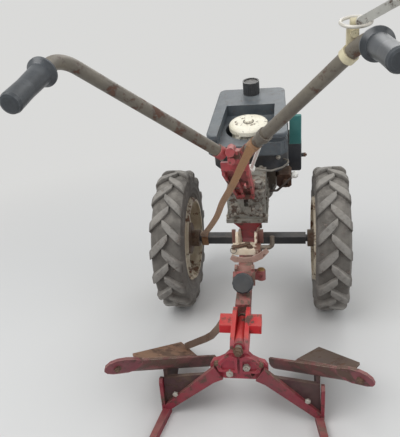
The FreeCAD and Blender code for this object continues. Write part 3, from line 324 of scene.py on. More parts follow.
@dataclass
class Effects:
    """Builds each shared shader group once, and keeps the materials made with them.

    Scales count features in a metre, "finer" fields multiply a scale, and shares,
    floors and limits are parts of one.
    """

    streak_finer: float = 7.0
    streak_share: float = 0.35
    chip_limit: float = 0.78
    chip_reach: float = 0.42
    chip_border: float = 0.035
    rim_share: float = 0.55
    rim_shade: Shade = "3a221a"
    deep_shade: Shade = "4a2c1f"
    deep_finer: float = 5.0
    dust_facing: Limits = (0.05, 0.95)
    dust_patches: Limits = (0.36, 0.62)
    dust_floor: float = 0.3
    film_share: float = 0.25
    pit_finer: float = 0.3
    pit_limits: Limits = (0.58, 0.7)
    edge_samples: int = 4
    edge_scale: float = 52.0
    edge_breaks: Limits = (0.40, 0.56)
    edge_bend: Limits = (0.012, 0.11)
    yarn_turn: float = 6.283
    fold_step: float = 0.25
    fold_slant: float = 25.0
    yarn_limits: Limits = (-0.6, 0.7)
    groups: dict[Group, bpy.types.NodeTree] = field(default_factory=dict)
    materials: dict[str, bpy.types.Material] = field(default_factory=dict)

    def __post_init__(self) -> None:
        """Builds all the groups."""
        masked = ("Color", "Mask")
        self.build(Group.FADING, ("Vector", "Paint", "Faded", "Scale", "Spread"), masked, self.fading)
        self.build(Group.CHIPPING, ("Vector", "Color", "Bare", "Scale", "Amount"), masked, self.chipping)
        self.build(Group.DUSTING, ("Vector", "Color", "Dust", "Scale", "Amount"), masked, self.dusting)
        self.build(Group.GRAIN, ("Vector", "Scale", "Pits"), ("Height",), self.grain)
        self.build(Group.EDGES, ("Vector", "Color", "Edge", "Width", "Amount"), masked, self.edges)
        self.build(Group.WEBBING, ("Vector", "Yarn", "Gap", "Count"), ("Color", "Height"), self.webbing)

    def build(self, name: Group, inputs: Sequence[str], outputs: Sequence[str],
              fill: Callable[[Graph, Sockets], Sockets]) -> None:
        """Makes one group.

        Args:
            name: the group's name.
            inputs: names of its inputs.
            outputs: names of its outputs.
            fill: adds the nodes and returns the sockets to put out.
        """
        tree = bpy.data.node_groups.new(name.value, "ShaderNodeTree")
        for way, labels in (("INPUT", inputs), ("OUTPUT", outputs)):
            for label in labels:
                tree.interface.new_socket(name=label, in_out=way, socket_type=KIND_OF[label])
        g = Graph(tree)
        source = g.add("NodeGroupInput")
        g.add("NodeGroupOutput", **fill(g, {label: source.outputs[label] for label in inputs}))
        self.groups[name] = tree

    def place(self, g: Graph, name: Group, **inputs: object) -> bpy.types.Node:
        """Adds a shared group to a material and fills its inputs.

        Args:
            g: the material's tree.
            name: which group.
            inputs: values or sockets by input name.

        Returns:
            The group's node.
        """
        node = g.add("ShaderNodeGroup")
        node.node_tree = self.groups[name]
        for label, value in inputs.items():
            g.feed(node.inputs[label], value)
        return node

    def fading(self, g: Graph, i: Sockets) -> Sockets:
        """Mixes two tones of one paint in soft clouds with finer streaks in them.

        Args:
            g: the group's tree.
            i: its inputs.

        Returns:
            What it puts out.
        """
        clouds = g.noise(i["Vector"], i["Scale"], detail=5.0)
        streaks = g.noise(i["Vector"], g.times(i["Scale"], self.streak_finer), detail=6.0, roughness=0.7)
        blend = g.blend(self.streak_share, clouds, streaks)
        low, high = g.minus(NOISE_MIDDLE, i["Spread"]), g.plus(NOISE_MIDDLE, i["Spread"])
        mask = g.span(blend, low, high)
        return {"Color": g.mix(mask, i["Paint"], i["Faded"]), "Mask": mask}

    def chipping(self, g: Graph, i: Sockets) -> Sockets:
        """Lays ragged chips of bare or rusted metal over a colour, each in a darker rim.

        Args:
            g: the group's tree.
            i: its inputs.

        Returns:
            What it puts out.
        """
        coarse = g.noise(i["Vector"], i["Scale"], detail=8.0, roughness=0.72)
        limit = g.minus(self.chip_limit, g.times(i["Amount"], self.chip_reach))
        mask = g.span(coarse, limit, g.plus(limit, self.chip_border))
        rim = g.span(coarse, g.minus(limit, self.chip_border), limit)
        ringed = g.mix(g.times(rim, self.rim_share), i["Color"], tone(self.rim_shade))
        depth = g.noise(i["Vector"], g.times(i["Scale"], self.deep_finer), detail=5.0)
        return {"Color": g.mix(mask, ringed, g.mix(depth, i["Bare"], tone(self.deep_shade))), "Mask": mask}

    def dusting(self, g: Graph, i: Sockets) -> Sockets:
        """Lays dust on what faces up, in patches, with a thin film elsewhere.

        Args:
            g: the group's tree.
            i: its inputs.

        Returns:
            What it puts out.
        """
        upward = g.parts(g.add("ShaderNodeNewGeometry").outputs["Normal"])["Z"]
        flat = g.span(upward, *self.dust_facing)
        patches = g.span(g.noise(i["Vector"], i["Scale"], detail=7.0, roughness=0.65), *self.dust_patches)
        settled = g.times(flat, g.blend(self.dust_floor, patches, 1.0))
        mask = g.times(g.blend(self.film_share, settled, patches), i["Amount"], clamp=True)
        return {"Color": g.mix(mask, i["Color"], i["Dust"]), "Mask": mask}

    def grain(self, g: Graph, i: Sockets) -> Sockets:
        """Makes fine casting or moulding grain with pits.

        Args:
            g: the group's tree.
            i: its inputs.

        Returns:
            What it puts out.
        """
        fine = g.noise(i["Vector"], i["Scale"], detail=3.0)
        coarse = g.noise(i["Vector"], g.times(i["Scale"], self.pit_finer), detail=6.0, roughness=0.7)
        return {"Height": g.minus(fine, g.times(g.span(coarse, *self.pit_limits), i["Pits"]))}

    def edges(self, g: Graph, i: Sockets) -> Sockets:
        """Rubs the paint away along the outer edges, in broken lengths.

        Args:
            g: the group's tree.
            i: its inputs.

        Returns:
            What it puts out.
        """
        rounded = g.add("ShaderNodeBevel", Radius=i["Width"])
        rounded.samples = self.edge_samples
        normal = g.add("ShaderNodeNewGeometry").outputs["Normal"]
        bend = g.minus(1.0, g.measure("DOT_PRODUCT", rounded.outputs["Normal"], normal))
        broken = g.span(g.noise(i["Vector"], self.edge_scale, detail=6.0, roughness=0.7), *self.edge_breaks)
        mask = g.times(g.times(g.span(bend, *self.edge_bend), broken), i["Amount"], clamp=True)
        return {"Color": g.mix(mask, i["Color"], i["Edge"]), "Mask": mask}

    def webbing(self, g: Graph, i: Sockets) -> Sockets:
        """Weaves a herringbone of yarns over the piece's own length and width.

        Args:
            g: the group's tree.
            i: its inputs.

        Returns:
            What it puts out.
        """
        place = g.parts(i["Vector"])
        along, across = (g.times(place[letter], i["Count"]) for letter in "XY")
        fold = g.math("ABSOLUTE", g.minus(g.math("FRACT", g.times(across, self.fold_step)), NOISE_MIDDLE))
        slant = g.math("SINE", g.plus(g.times(along, self.yarn_turn), g.times(fold, self.fold_slant)))
        yarn = g.span(slant, *self.yarn_limits)
        return {"Color": g.mix(yarn, i["Gap"], i["Yarn"]), "Height": yarn}


@cache
def effects() -> Effects:
    """Gives the shared effects, built at the first call."""
    return Effects()


# Finishes

def blank_material(name: str) -> tuple[bpy.types.Material, Graph, bpy.types.Node]:
    """Makes a new material.

    Args:
        name: its name.

    Returns:
        The material, its graph and its shader node.
    """
    made = bpy.data.materials.new(name)
    made.use_nodes = True
    return made, Graph(made.node_tree), made.node_tree.nodes["Principled BSDF"]


@dataclass(frozen=True)
class Finish:
    """A weathered finish: its paint or metal, what shows through it and what lies on it."""

    name: str
    paint: Shade
    faded: Shade
    bare: Shade = "68422d"
    dust: Shade = "9e9280"
    patch: float = 9.0
    spread: float = 0.16
    chip_scale: float = 34.0
    chips: float = 0.2
    chip_lip: float = -0.6
    dusty: float = 0.35
    dust_finer: float = 1.7
    dust_matt: float = 0.35
    rough: float = 0.5
    rough_bare: float = 0.8
    metal: float = 0.0
    metal_bare: float = 0.0
    grain_scale: float = 420.0
    pits: float = 0.6
    relief: float = 0.12
    bump: float = 0.8
    depth: float = 0.0006
    edge: Shade = "b0a092"
    edge_wear: float = 0.45
    edge_width: float = 0.0022

    def material(self) -> bpy.types.Material:
        """Builds the finish's material, once.

        Returns:
            The material.
        """
        shared = effects()
        if self.name in shared.materials:
            return shared.materials[self.name]
        made, g, shader = blank_material(f"{self.name}_worn")
        shared.materials[self.name] = made
        place = g.add("ShaderNodeTexCoord").outputs["Object"]
        colour = self.underlay(g, place)
        chips = shared.place(g, Group.CHIPPING, Vector=place, Color=colour, Bare=tone(self.bare),
                             Scale=self.chip_scale, Amount=self.chips)
        rubbed = shared.place(g, Group.EDGES, Vector=place, Color=chips.outputs["Color"],
                              Edge=tone(self.edge), Width=self.edge_width, Amount=self.edge_wear)
        dust = shared.place(g, Group.DUSTING, Vector=place, Color=rubbed.outputs["Color"],
                            Dust=tone(self.dust), Scale=self.patch * self.dust_finer, Amount=self.dusty)
        grain = shared.place(g, Group.GRAIN, Vector=place, Scale=self.grain_scale, Pits=self.pits)
        bared = chips.outputs["Mask"]
        g.feed(shader.inputs["Base Color"], dust.outputs["Color"])
        rough = g.plus(g.times(bared, self.rough_bare - self.rough), self.rough)
        matt = g.times(dust.outputs["Mask"], self.dust_matt)
        g.feed(shader.inputs["Roughness"], g.plus(rough, matt, clamp=True))
        if self.metal != self.metal_bare:
            shine = g.times(bared, self.metal_bare - self.metal)
            g.feed(shader.inputs["Metallic"], g.plus(shine, self.metal, clamp=True))
        else:
            shader.inputs["Metallic"].default_value = self.metal
        height = g.plus(g.times(grain.outputs["Height"], self.relief), g.times(bared, self.chip_lip))
        bump = g.add("ShaderNodeBump", Strength=self.bump, Distance=self.depth, Height=height)
        g.feed(shader.inputs["Normal"], bump.outputs["Normal"])
        return made

    def underlay(self, g: Graph, place: Socket) -> Socket:
        """Adds the paint under chips and dust.

        Args:
            g: the material's tree.
            place: the coordinates.

        Returns:
            The paint's colour.
        """
        fade = effects().place(g, Group.FADING, Vector=place, Paint=tone(self.paint),
                               Faded=tone(self.faded), Scale=self.patch, Spread=self.spread)
        return fade.outputs["Color"]


@dataclass(frozen=True)
class TyreFinish(Finish):
    """Rubber whose worn lug tops are paler than the sidewalls, with painted shade darkening the grooves
    between the lugs.

    The limits are distances from the axle, in metres.
    """

    tops: Shade = "827f7a"
    # painted shade: the darker rubber colour for the grooves between the lugs
    groove_shade: Shade = "54504b"
    crown: Limits = (0.2395, 0.2455)
    groove_foot: Limits = (0.222, 0.230)
    groove_top: Limits = (0.234, 0.240)
    groove_shade_share: float = 0.75
    scuff_scale: float = 46.0
    scuffs: Limits = (0.30, 0.56)

    def underlay(self, g: Graph, place: Socket) -> Socket:
        """Adds rubber by its distance from the axle, with painted shade in the grooves between the lugs.

        Args:
            g: the material's tree.
            place: the coordinates.

        Returns:
            The rubber's colour.
        """
        base = super().underlay(g, place)
        point = g.parts(place)
        ahead = g.minus(point["Y"], DATUM.axle_y * MM)
        above = g.minus(point["Z"], DATUM.axle_z * MM)
        radius = g.math("SQRT", g.plus(g.times(ahead, ahead), g.times(above, above)))
        scuffed = g.span(g.noise(place, self.scuff_scale, detail=6.0, roughness=0.7), *self.scuffs)
        # painted shade: darkens the rubber between the lugs' feet and the crown, where the grooves lie
        below = g.minus(1.0, g.span(radius, *self.groove_top))
        groove_shade_mask = g.times(g.span(radius, *self.groove_foot), below)
        shaded_grooves = g.mix(g.times(groove_shade_mask, self.groove_shade_share), base, tone(self.groove_shade))
        return g.mix(g.times(g.span(radius, *self.crown), scuffed), shaded_grooves, tone(self.tops))


@dataclass(frozen=True)
class TwoPaintFinish(Finish):
    """A finish that changes to another paint beyond a plane across one of the machine's axes."""

    other: Shade = "784a3e"
    axis: str = "X"
    border: float = 0.022
    ragged: float = 0.012
    wander_scale: float = 60.0
    wander: float = 4.0

    def underlay(self, g: Graph, place: Socket) -> Socket:
        """Adds both paints with a worn border.

        Args:
            g: the material's tree.
            place: the coordinates.

        Returns:
            The paints' colour.
        """
        base = super().underlay(g, place)
        across = g.parts(place)[self.axis]
        noise = g.minus(g.noise(place, self.wander_scale, detail=6.0), NOISE_MIDDLE)
        shifted = g.plus(across, g.times(noise, self.ragged * self.wander))
        return g.mix(g.span(shifted, self.border, self.border + self.ragged), base, tone(self.other))


@dataclass(frozen=True)
class WebbingFinish:
    """Tan woven strap that reads its weave from the piece's own UV map."""

    name: str = "tan_webbing"
    yarn: Shade = "b2885e"
    gap: Shade = "704e34"
    dust: Shade = "866244"
    count: float = 420.0
    dust_scale: float = 22.0
    dusty: float = 0.7
    rough: float = 0.9
    sheen: float = 0.25
    bump: float = 0.6
    depth: float = 0.0008

    def material(self) -> bpy.types.Material:
        """Builds the webbing's material.

        Returns:
            The material.
        """
        made, g, shader = blank_material(self.name)
        where = g.add("ShaderNodeTexCoord").outputs
        shared = effects()
        weave = shared.place(g, Group.WEBBING, Vector=where["UV"], Yarn=tone(self.yarn), Gap=tone(self.gap),
                             Count=self.count)
        dust = shared.place(g, Group.DUSTING, Vector=where["Object"], Color=weave.outputs["Color"],
                            Dust=tone(self.dust), Scale=self.dust_scale, Amount=self.dusty)
        g.feed(shader.inputs["Base Color"], dust.outputs["Color"])
        shader.inputs["Roughness"].default_value = self.rough
        shader.inputs["Sheen Weight"].default_value = self.sheen
        height = weave.outputs["Height"]
        bump = g.add("ShaderNodeBump", Strength=self.bump, Distance=self.depth, Height=height)
        g.feed(shader.inputs["Normal"], bump.outputs["Normal"])
        return made


SOIL: Shade = "786856"

RUBBER = TyreFinish(
    "tyre_rubber", "5e5b57", "726e69", bare="949088", patch=14, chips=0.36, chip_scale=40, dusty=0.55,
    dust="a29d95", rough=0.85, rough_bare=0.9, grain_scale=260, pits=0.9, edge="9e9a93", edge_wear=0.4)
RIM_CREAM = Finish(
    "rim_cream", "d6ceba", "baac94", bare="784c34", chip_scale=22, chips=0.5, dusty=0.3, rough=0.6,
    edge="7a543c", edge_wear=0.6)
HUB_IRON = Finish(
    "hub_iron", "584c42", "705c4c", chips=0.5, rough=0.7, metal=0.3, dusty=0.4)
BEAM_BLACK = Finish(
    "beam_black", "16181c", "2c2e32", bare="564e48", chips=0.25, rough=0.38, dusty=0.25, edge="706c68")
DRIVE_RED = Finish(
    "drive_red", "b01422", "861a24", bare="5c3c32", chips=0.50, rough=0.46, dusty=0.28, edge="78463e",
    edge_wear=0.6)
CAST_ALLOY = Finish(
    "cast_alloy", "9c9b94", "78756e", bare="504c46", patch=16, spread=0.2, chip_scale=44, chips=0.60,
    rough=0.52, metal=0.35, metal_bare=0.1, dusty=0.35, grain_scale=300, relief=0.3, edge="c4c2ba",
    edge_wear=0.5)
ENGINE_DARK = Finish(
    "engine_dark", "3a3632", "544a3e", bare="604634", chips=0.4, rough=0.65, metal=0.2, dusty=0.35)
SHROUD_BLACK = Finish(
    "shroud_black", "282b31", "3c4046", bare="5c5c5c", chips=0.12, rough=0.42, dusty=0.3, edge="787a7c",
    edge_wear=0.4)
TANK_PLASTIC = Finish(
    "tank_plastic", "40474e", "545c61", bare="848a8a", patch=12, spread=0.22, chip_scale=60, chips=0.4,
    rough=0.42, dusty=0.32, dust="8e908e", grain_scale=700, relief=0.2, edge="969a9c", edge_wear=0.5,
    edge_width=0.003)
CAP_BLACK = Finish(
    "cap_black", "222428", "383b3e", bare="6e7070", chips=0.12, rough=0.42, dusty=0.15, edge="6a6c6e",
    edge_wear=0.4)
STARTER_CREAM = Finish(
    "starter_cream", "f5f1e0", "e4ddc6", bare="786048", patch=16, chip_scale=60, chips=0.44, rough=0.42,
    dusty=0.14, edge="80644c", edge_wear=0.5)
FILTER_TEAL = Finish(
    "filter_teal", "286a68", "3a7875", bare="3e524a", chips=0.3, rough=0.4, dusty=0.15, edge="78988c",
    edge_wear=0.5)
RUSTY = Finish(
    "rusty_steel", "583e32", "423029", bare="7a543c", patch=20, spread=0.2, chips=0.5, rough=0.85,
    dusty=0.3, relief=0.5, edge="98765c")
BAR_PAINT = Finish(
    "bar_paint", "6e685c", "58524a", bare="60463a", patch=12, spread=0.2, chip_scale=26, chips=0.5,
    rough=0.42, dusty=0.22)
GRIP_RUBBER = Finish(
    "grip_rubber", "282c30", "3c4146", bare="565a5e", patch=18, chips=0.16, chip_scale=70, rough=0.34,
    dusty=0.18, dust="707376", edge="707478")
COLUMN_RED = Finish(
    "column_red", "b83a42", "984246", bare="603c34", chip_scale=30, chips=0.58, rough=0.48, dusty=0.34,
    edge="c4968c", edge_wear=0.6)
HITCH_CREAM = TwoPaintFinish(
    "hitch_cream", "f0e4d0", "d8c6ac", bare="7e543e", chip_scale=30, chips=0.42, rough=0.6, dusty=0.2,
    edge="ece0cc", edge_wear=0.5)
COUPLING_RED = Finish(
    "coupling_red", "96383c", "865250", bare="5c423c", chip_scale=28, chips=0.60, rough=0.56, dusty=0.42,
    edge="b0847a", edge_wear=0.5)
DULL_STEEL = Finish(
    "dull_steel", "8c867e", "6e6256", bare="684834", chips=0.4, rough=0.5, metal=0.7, metal_bare=0.1,
    dusty=0.3)
LINK_BEIGE = Finish(
    "link_beige", "ae8e82", "94766a", bare="684c3e", chips=0.4, rough=0.7, dusty=0.3)
KNOB_BLACK = Finish(
    "knob_black", "1b2026", "2a3036", bare="565a5c", chips=0.1, rough=0.4, dusty=0.12, edge="767a7c",
    edge_wear=0.35)
HEAD_RED = TwoPaintFinish(
    "head_red", "9e2438", "7e2836", bare="583632", chip_scale=24, chips=0.48, rough=0.44, dusty=0.2,
    edge="be7870", edge_wear=0.5, other="bc1622", axis="Y", border=-0.262, ragged=0.006)
PLOUGH_CRIMSON = Finish(
    "plough_crimson", "862032", "6a2632", bare="543c36", chip_scale=36, chips=0.5, rough=0.52, dusty=0.3,
    edge="aa7068", edge_wear=0.55)
TAIL_CRIMSON = Finish(
    "tail_crimson", "843240", "6c323a", bare="58403a", chip_scale=20, chips=0.58, rough=0.55, dusty=0.34,
    edge="b6887e", edge_wear=0.7)
# painted shade: the frog's own crimson-brown paint is made very dark to stand in for the shade behind the
# mouldboard
FROG_PAINTED_SHADE = Finish(
    "frog_dark", "482a2d", "362627", bare="463832", chip_scale=18, chips=0.58, rough=0.7, dusty=0.28,
    edge="8c6860", edge_wear=0.4)
BOARD_WORN = Finish(
    "board_worn", "783e40", "623e3c", bare="68544c", chip_scale=13, chips=0.64, rough=0.56,
    metal_bare=0.3, rough_bare=0.5, dusty=0.34, dust=SOIL, edge="bca296", edge_wear=0.8, edge_width=0.003)
SHARE_DARK = Finish(
    "share_dark", "5a4c46", "6a584e", bare="745644", chip_scale=18, chips=0.54, rough=0.56, metal=0.4,
    metal_bare=0.1, dusty=0.32, dust=SOIL, edge="aa9c90", edge_wear=0.7)
SHARE_RUST = Finish(
    "share_rust", "906c54", "7a5a48", bare="64483a", chip_scale=18, chips=0.54, rough=0.76, dusty=0.3,
    dust=SOIL, edge="b69c86", edge_wear=0.6)
HANDLE_BROWN = Finish(
    "handle_brown", "786254", "624e42", bare="866852", chip_scale=24, chips=0.4, rough=0.66, dusty=0.25,
    metal=0.2, edge="b2a090", edge_wear=0.7)
LEVER_GREY = Finish(
    "lever_grey", "c6c5be", "aaaaa4", bare="706860", chips=0.50, rough=0.35, metal=0.3, metal_bare=0.3,
    dusty=0.15, edge="e2e1dc")
BRACKET_CREAM = Finish(
    "bracket_cream", "d6cdac", "b8ae92", bare="78644c", chips=0.36, rough=0.5, dusty=0.25, edge="78624e",
    edge_wear=0.5)
HOOP_CREAM = Finish(
    "hoop_cream", "d2cfc6", "b8b4aa", bare="6e5c4e", chips=0.24, rough=0.35, metal=0.2, dusty=0.15)
WHITE_ROD = TwoPaintFinish(
    "white_rod", "6c675c", "5a544c", bare="60483c", chips=0.24, rough=0.4, dusty=0.12, other="e2e2dc",
    axis="Y", border=-0.186, ragged=0.002)
GEAR_WHITE = TwoPaintFinish(
    "gear_white", "342c29", "463c36", bare="604c3e", chips=0.2, rough=0.4, dusty=0.12, other="ecece6",
    border=0.137, ragged=0.002)
CABLE_GREY = Finish(
    "cable_grey", "7e7a72", "64605a", chips=0.2, rough=0.6, dusty=0.3)
BOLT_STEEL = Finish(
    "bolt_steel", "bab6ac", "969086", bare="745844", chip_scale=90, chips=0.36, rough=0.4, metal=0.6,
    metal_bare=0.1, dusty=0.2, edge="e2ded6")
BOLT_RUST = Finish(
    "bolt_rust", "684c3c", "523e34", bare="826048", chip_scale=90, chips=0.5, rough=0.8, metal=0.2,
    dusty=0.25, edge="967a62")
FLANGE_RUST = Finish(
    "flange_rust", "7a4a44", "66423a", bare="8a6c5c", chip_scale=30, chips=0.45, rough=0.66, dusty=0.25,
    edge="c6b29e", edge_wear=0.6)
BRASS = Finish(
    "worn_brass", "b08c4e", "8c6c42", bare="564232", chips=0.3, rough=0.4, metal=0.8, metal_bare=0.3,
    dusty=0.25)

PAIR_FINISH: dict[str, Finish] = {
    "rim": RIM_CREAM, "hub": HUB_IRON, "handlebar": BAR_PAINT, "grip": GRIP_RUBBER, "leg": PLOUGH_CRIMSON,
    "slide": PLOUGH_CRIMSON, "frog": FROG_PAINTED_SHADE, "mouldboard": BOARD_WORN, "tail_plate": TAIL_CRIMSON,
}
NODE_FINISH: dict[str, Finish] = {
    "axle_beam": BEAM_BLACK, "final_drive": DRIVE_RED, "gearbox": CAST_ALLOY, "clutch_bell": CAST_ALLOY,
    "engine_block": ENGINE_DARK, "blower_shroud": SHROUD_BLACK, "fuel_tank": TANK_PLASTIC,
    "fuel_cap": CAP_BLACK, "starter_cover": STARTER_CREAM, "air_filter_case": SHROUD_BLACK,
    "air_filter_cover": FILTER_TEAL, "silencer": RUSTY, "clamp_head": COLUMN_RED, "column": COLUMN_RED,
    "hitch_frame": HITCH_CREAM, "coupling": COUPLING_RED, "lock_knob": KNOB_BLACK,
    "hitch_lever": LINK_BEIGE, "hitch_hook": DULL_STEEL, "turning_shaft": DULL_STEEL,
    "plough_head": HEAD_RED, "share_left": SHARE_RUST, "share_right": SHARE_DARK,
    "turnover_handle": HANDLE_BROWN, "clutch_lever": LEVER_GREY, "control_bracket": BRACKET_CREAM,
    "guard_hoop": HOOP_CREAM, "throttle_rod": WHITE_ROD, "gear_lever": GEAR_WHITE,
    "control_cable": CABLE_GREY,
} | {f"{name}_{side.label()}": finish for name, finish in PAIR_FINISH.items() for side in Side}


# Mesh tools

SHARP = 1.0
WIRE_SIDES = 10


def facing(centre: Vector, way: Vector, spin: float = 0.0) -> Matrix:
    """Makes a frame whose Z axis points along a direction.

    Args:
        centre: the frame's origin.
        way: where its Z axis points.
        spin: turn about that axis, in degrees.

    Returns:
        The frame as a matrix.
    """
    turn = way.to_track_quat("Z", "Y").to_matrix().to_4x4()
    return Matrix.Translation(centre) @ turn @ Matrix.Rotation(math.radians(spin), 4, "Z")


def placed_object(bm: Mesh, name: str) -> bpy.types.Object:
    """Turns a bmesh into an object of the scene.

    Args:
        bm: the mesh in the making, which is freed.
        name: the object's name.

    Returns:
        The new object.
    """
    mesh = bpy.data.meshes.new(name)
    bm.to_mesh(mesh)
    bm.free()
    made = bpy.data.objects.new(name, mesh)
    bpy.context.scene.collection.objects.link(made)
    return made


def finished(bm: Mesh, name: str, body: Body, finish: Finish | WebbingFinish,
             smooth: float = 35.0) -> bpy.types.Object:
    """Turns a bmesh into a piece that rides on a body.

    Args:
        bm: the mesh in the making, which is freed.
        name: the piece's name.
        body: what it rides on.
        finish: its finish.
        smooth: edges under this angle are shaded smooth, in degrees.

    Returns:
        The new object.
    """
    bmesh.ops.recalc_face_normals(bm, faces=bm.faces)
    for edge in bm.edges:
        edge.smooth = len(edge.link_faces) == 2 and edge.calc_face_angle(0.0) < math.radians(smooth)
    for face in bm.faces:
        face.smooth = True
    piece = placed_object(bm, name)
    piece.data.materials.append(finish.material())
    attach(piece, body.value)
    LOG.info("%s: %d faces on %s", name, len(piece.data.polygons), body.value)
    return piece


def bevel(bm: Mesh, edges: Iterable[bmesh.types.BMEdge], width: float) -> list[bmesh.types.BMVert]:
    """Bevels edges in two rounds.

    Args:
        bm: the mesh.
        edges: what to bevel.
        width: the bevel's width, in metres.

    Returns:
        The new corners.
    """
    made = bmesh.ops.bevel(bm, geom=list(edges), offset=width, segments=2, profile=0.5, affect="EDGES",
                           material=-1)
    return made["verts"]


def add_block(bm: Mesh, size: Sequence[float]) -> list[bmesh.types.BMVert]:
    """Adds a box about the origin.

    Args:
        bm: the mesh to add to.
        size: its three sizes.

    Returns:
        Its corners.
    """
    made = bmesh.ops.create_cube(bm, size=1.0)["verts"]
    bmesh.ops.scale(bm, vec=size, verts=made)
    return made


def add_disc(bm: Mesh, place: Matrix, radius: float, height: float, sides: int, edge: float) -> None:
    """Adds a bevelled prism or disc that stands on a place.

    Args:
        bm: the mesh to add to.
        place: where its foot lies and which way it stands.
        radius: over the corners, in millimetres.
        height: in millimetres.
        sides: number of sides.
        edge: width of the bevel round its top, in millimetres.
    """
    made = bmesh.ops.create_circle(bm, cap_ends=True, radius=radius * MM, segments=sides)
    faces = list({face for vert in made["verts"] for face in vert.link_faces})
    top = bmesh.ops.extrude_face_region(bm, geom=faces)["geom"]
    raised = [item for item in top if isinstance(item, bmesh.types.BMVert)]
    bmesh.ops.translate(bm, verts=raised, vec=(0.0, 0.0, height * MM))
    rim = [item for item in top if isinstance(item, bmesh.types.BMEdge)]
    verts = {*made["verts"], *raised}
    rounded = bevel(bm, rim, edge * MM)
    verts = {vert for vert in verts if vert.is_valid} | set(rounded)
    bmesh.ops.transform(bm, matrix=place, verts=[vert for vert in verts if vert.is_valid])


def wire_ring(place: Matrix, radius: float, wire: float, steps: int) -> Mesh:
    """Makes a ring of wire round a place's Z axis.

    Args:
        place: where its middle lies and how it is turned.
        radius: of the ring, in millimetres.
        wire: the wire's own radius, in millimetres.
        steps: number of steps round the ring.

    Returns:
        The ring's mesh.
    """
    bm = bmesh.new()
    section = bmesh.ops.create_circle(bm, radius=wire * MM, segments=WIRE_SIDES)["verts"]
    bmesh.ops.rotate(bm, verts=section, cent=ORIGIN, matrix=Matrix.Rotation(math.pi / 2, 3, "X"))
    bmesh.ops.translate(bm, verts=section, vec=(radius * MM, 0.0, 0.0))
    bmesh.ops.spin(bm, geom=bm.verts[:] + bm.edges[:], cent=ORIGIN, axis=UP, angle=math.tau, steps=steps,
                   use_merge=True)
    bmesh.ops.transform(bm, matrix=place, verts=bm.verts)
    return bm


@dataclass(frozen=True)
class Bolt:
    """A hexagon bolt or nut with its washer, sizes in millimetres."""

    centre: Vector
    way: Vector
    flats: float = 13.0
    height: float = 6.0
    washer: float = 0.0
    stub: float = 0.0
    washer_wall: float = 1.6
    washer_edge: float = 0.4
    washer_sides: int = 28
    head_sides: int = 6
    head_edge: float = 0.7
    stub_share: float = 0.52
    stub_sides: int = 20
    stub_edge: float = 0.6

    def add(self, bm: Mesh, spin: float) -> None:
        """Adds the bolt to a mesh.

        Args:
            bm: the mesh to add to.
            spin: how far it is turned, in degrees.
        """
        way = self.way.normalized()
        lift = 0.0
        across = self.flats / math.sqrt(3)
        if self.washer:
            place = facing(self.centre, self.way)
            add_disc(bm, place, self.washer / 2, self.washer_wall, self.washer_sides, self.washer_edge)
            lift = self.washer_wall
        seat = self.centre + way * lift * MM
        add_disc(bm, facing(seat, way, spin), across, self.height, self.head_sides, self.head_edge)
        if self.stub:
            top = self.centre + way * (lift + self.height) * MM
            stub = across * self.stub_share
            add_disc(bm, facing(top, way), stub, self.stub, self.stub_sides, self.stub_edge)


BoltRow = tuple[Point, Vector, tuple[float, ...]]


def ground_bolts(rows: Iterable[BoltRow]) -> list[Bolt]:
    """Makes bolts from rows of their place, direction and sizes."""
    return [Bolt(DATUM.ground(*place), way, *sizes) for place, way, sizes in rows]


def mirrored(rows: Sequence[BoltRow]) -> list[BoltRow]:
    """Repeats rows that are written for the right-hand side, on the left and then on the right.

    Args:
        rows: place, direction and sizes of each bolt.

    Returns:
        The rows of both sides.
    """
    both = []
    for side in Side:
        for (x, y, z), way, sizes in rows:
            both.append(((side.value * x, y, z), Vector((side.value * way.x, way.y, way.z)), sizes))
    return both


@dataclass
class BoltSet:
    """Bolts of one finish on one body, each turned a little further than the last."""

    name: str
    body: Body
    finish: Finish
    bolts: list[Bolt]
    turn_step: float = 37.0
    full_turn: float = 60.0

    def build(self) -> bpy.types.Object:
        """Makes all the bolts as one piece.

        Returns:
            The piece.
        """
        bm = bmesh.new()
        for index, bolt in enumerate(self.bolts):
            bolt.add(bm, index * self.turn_step % self.full_turn)
        return finished(bm, self.name, self.body, self.finish)


# Sub-assemblies

@dataclass
class CadDress:
    """Gives each carried-over CAD node its finish."""

    finishes: dict[str, Finish] = field(default_factory=lambda: NODE_FINISH)

    def build(self, nodes: dict[str, bpy.types.Object]) -> None:
        """Swaps the nodes' plain materials for the finishes.

        Args:
            nodes: the frame's CAD nodes by name.
        """
        for name, node in nodes.items():
            if name not in self.finishes:
                continue
            made = self.finishes[name].material()
            for slot in node.material_slots:
                slot.material = made
            LOG.info("%s: %s", name, made.name)


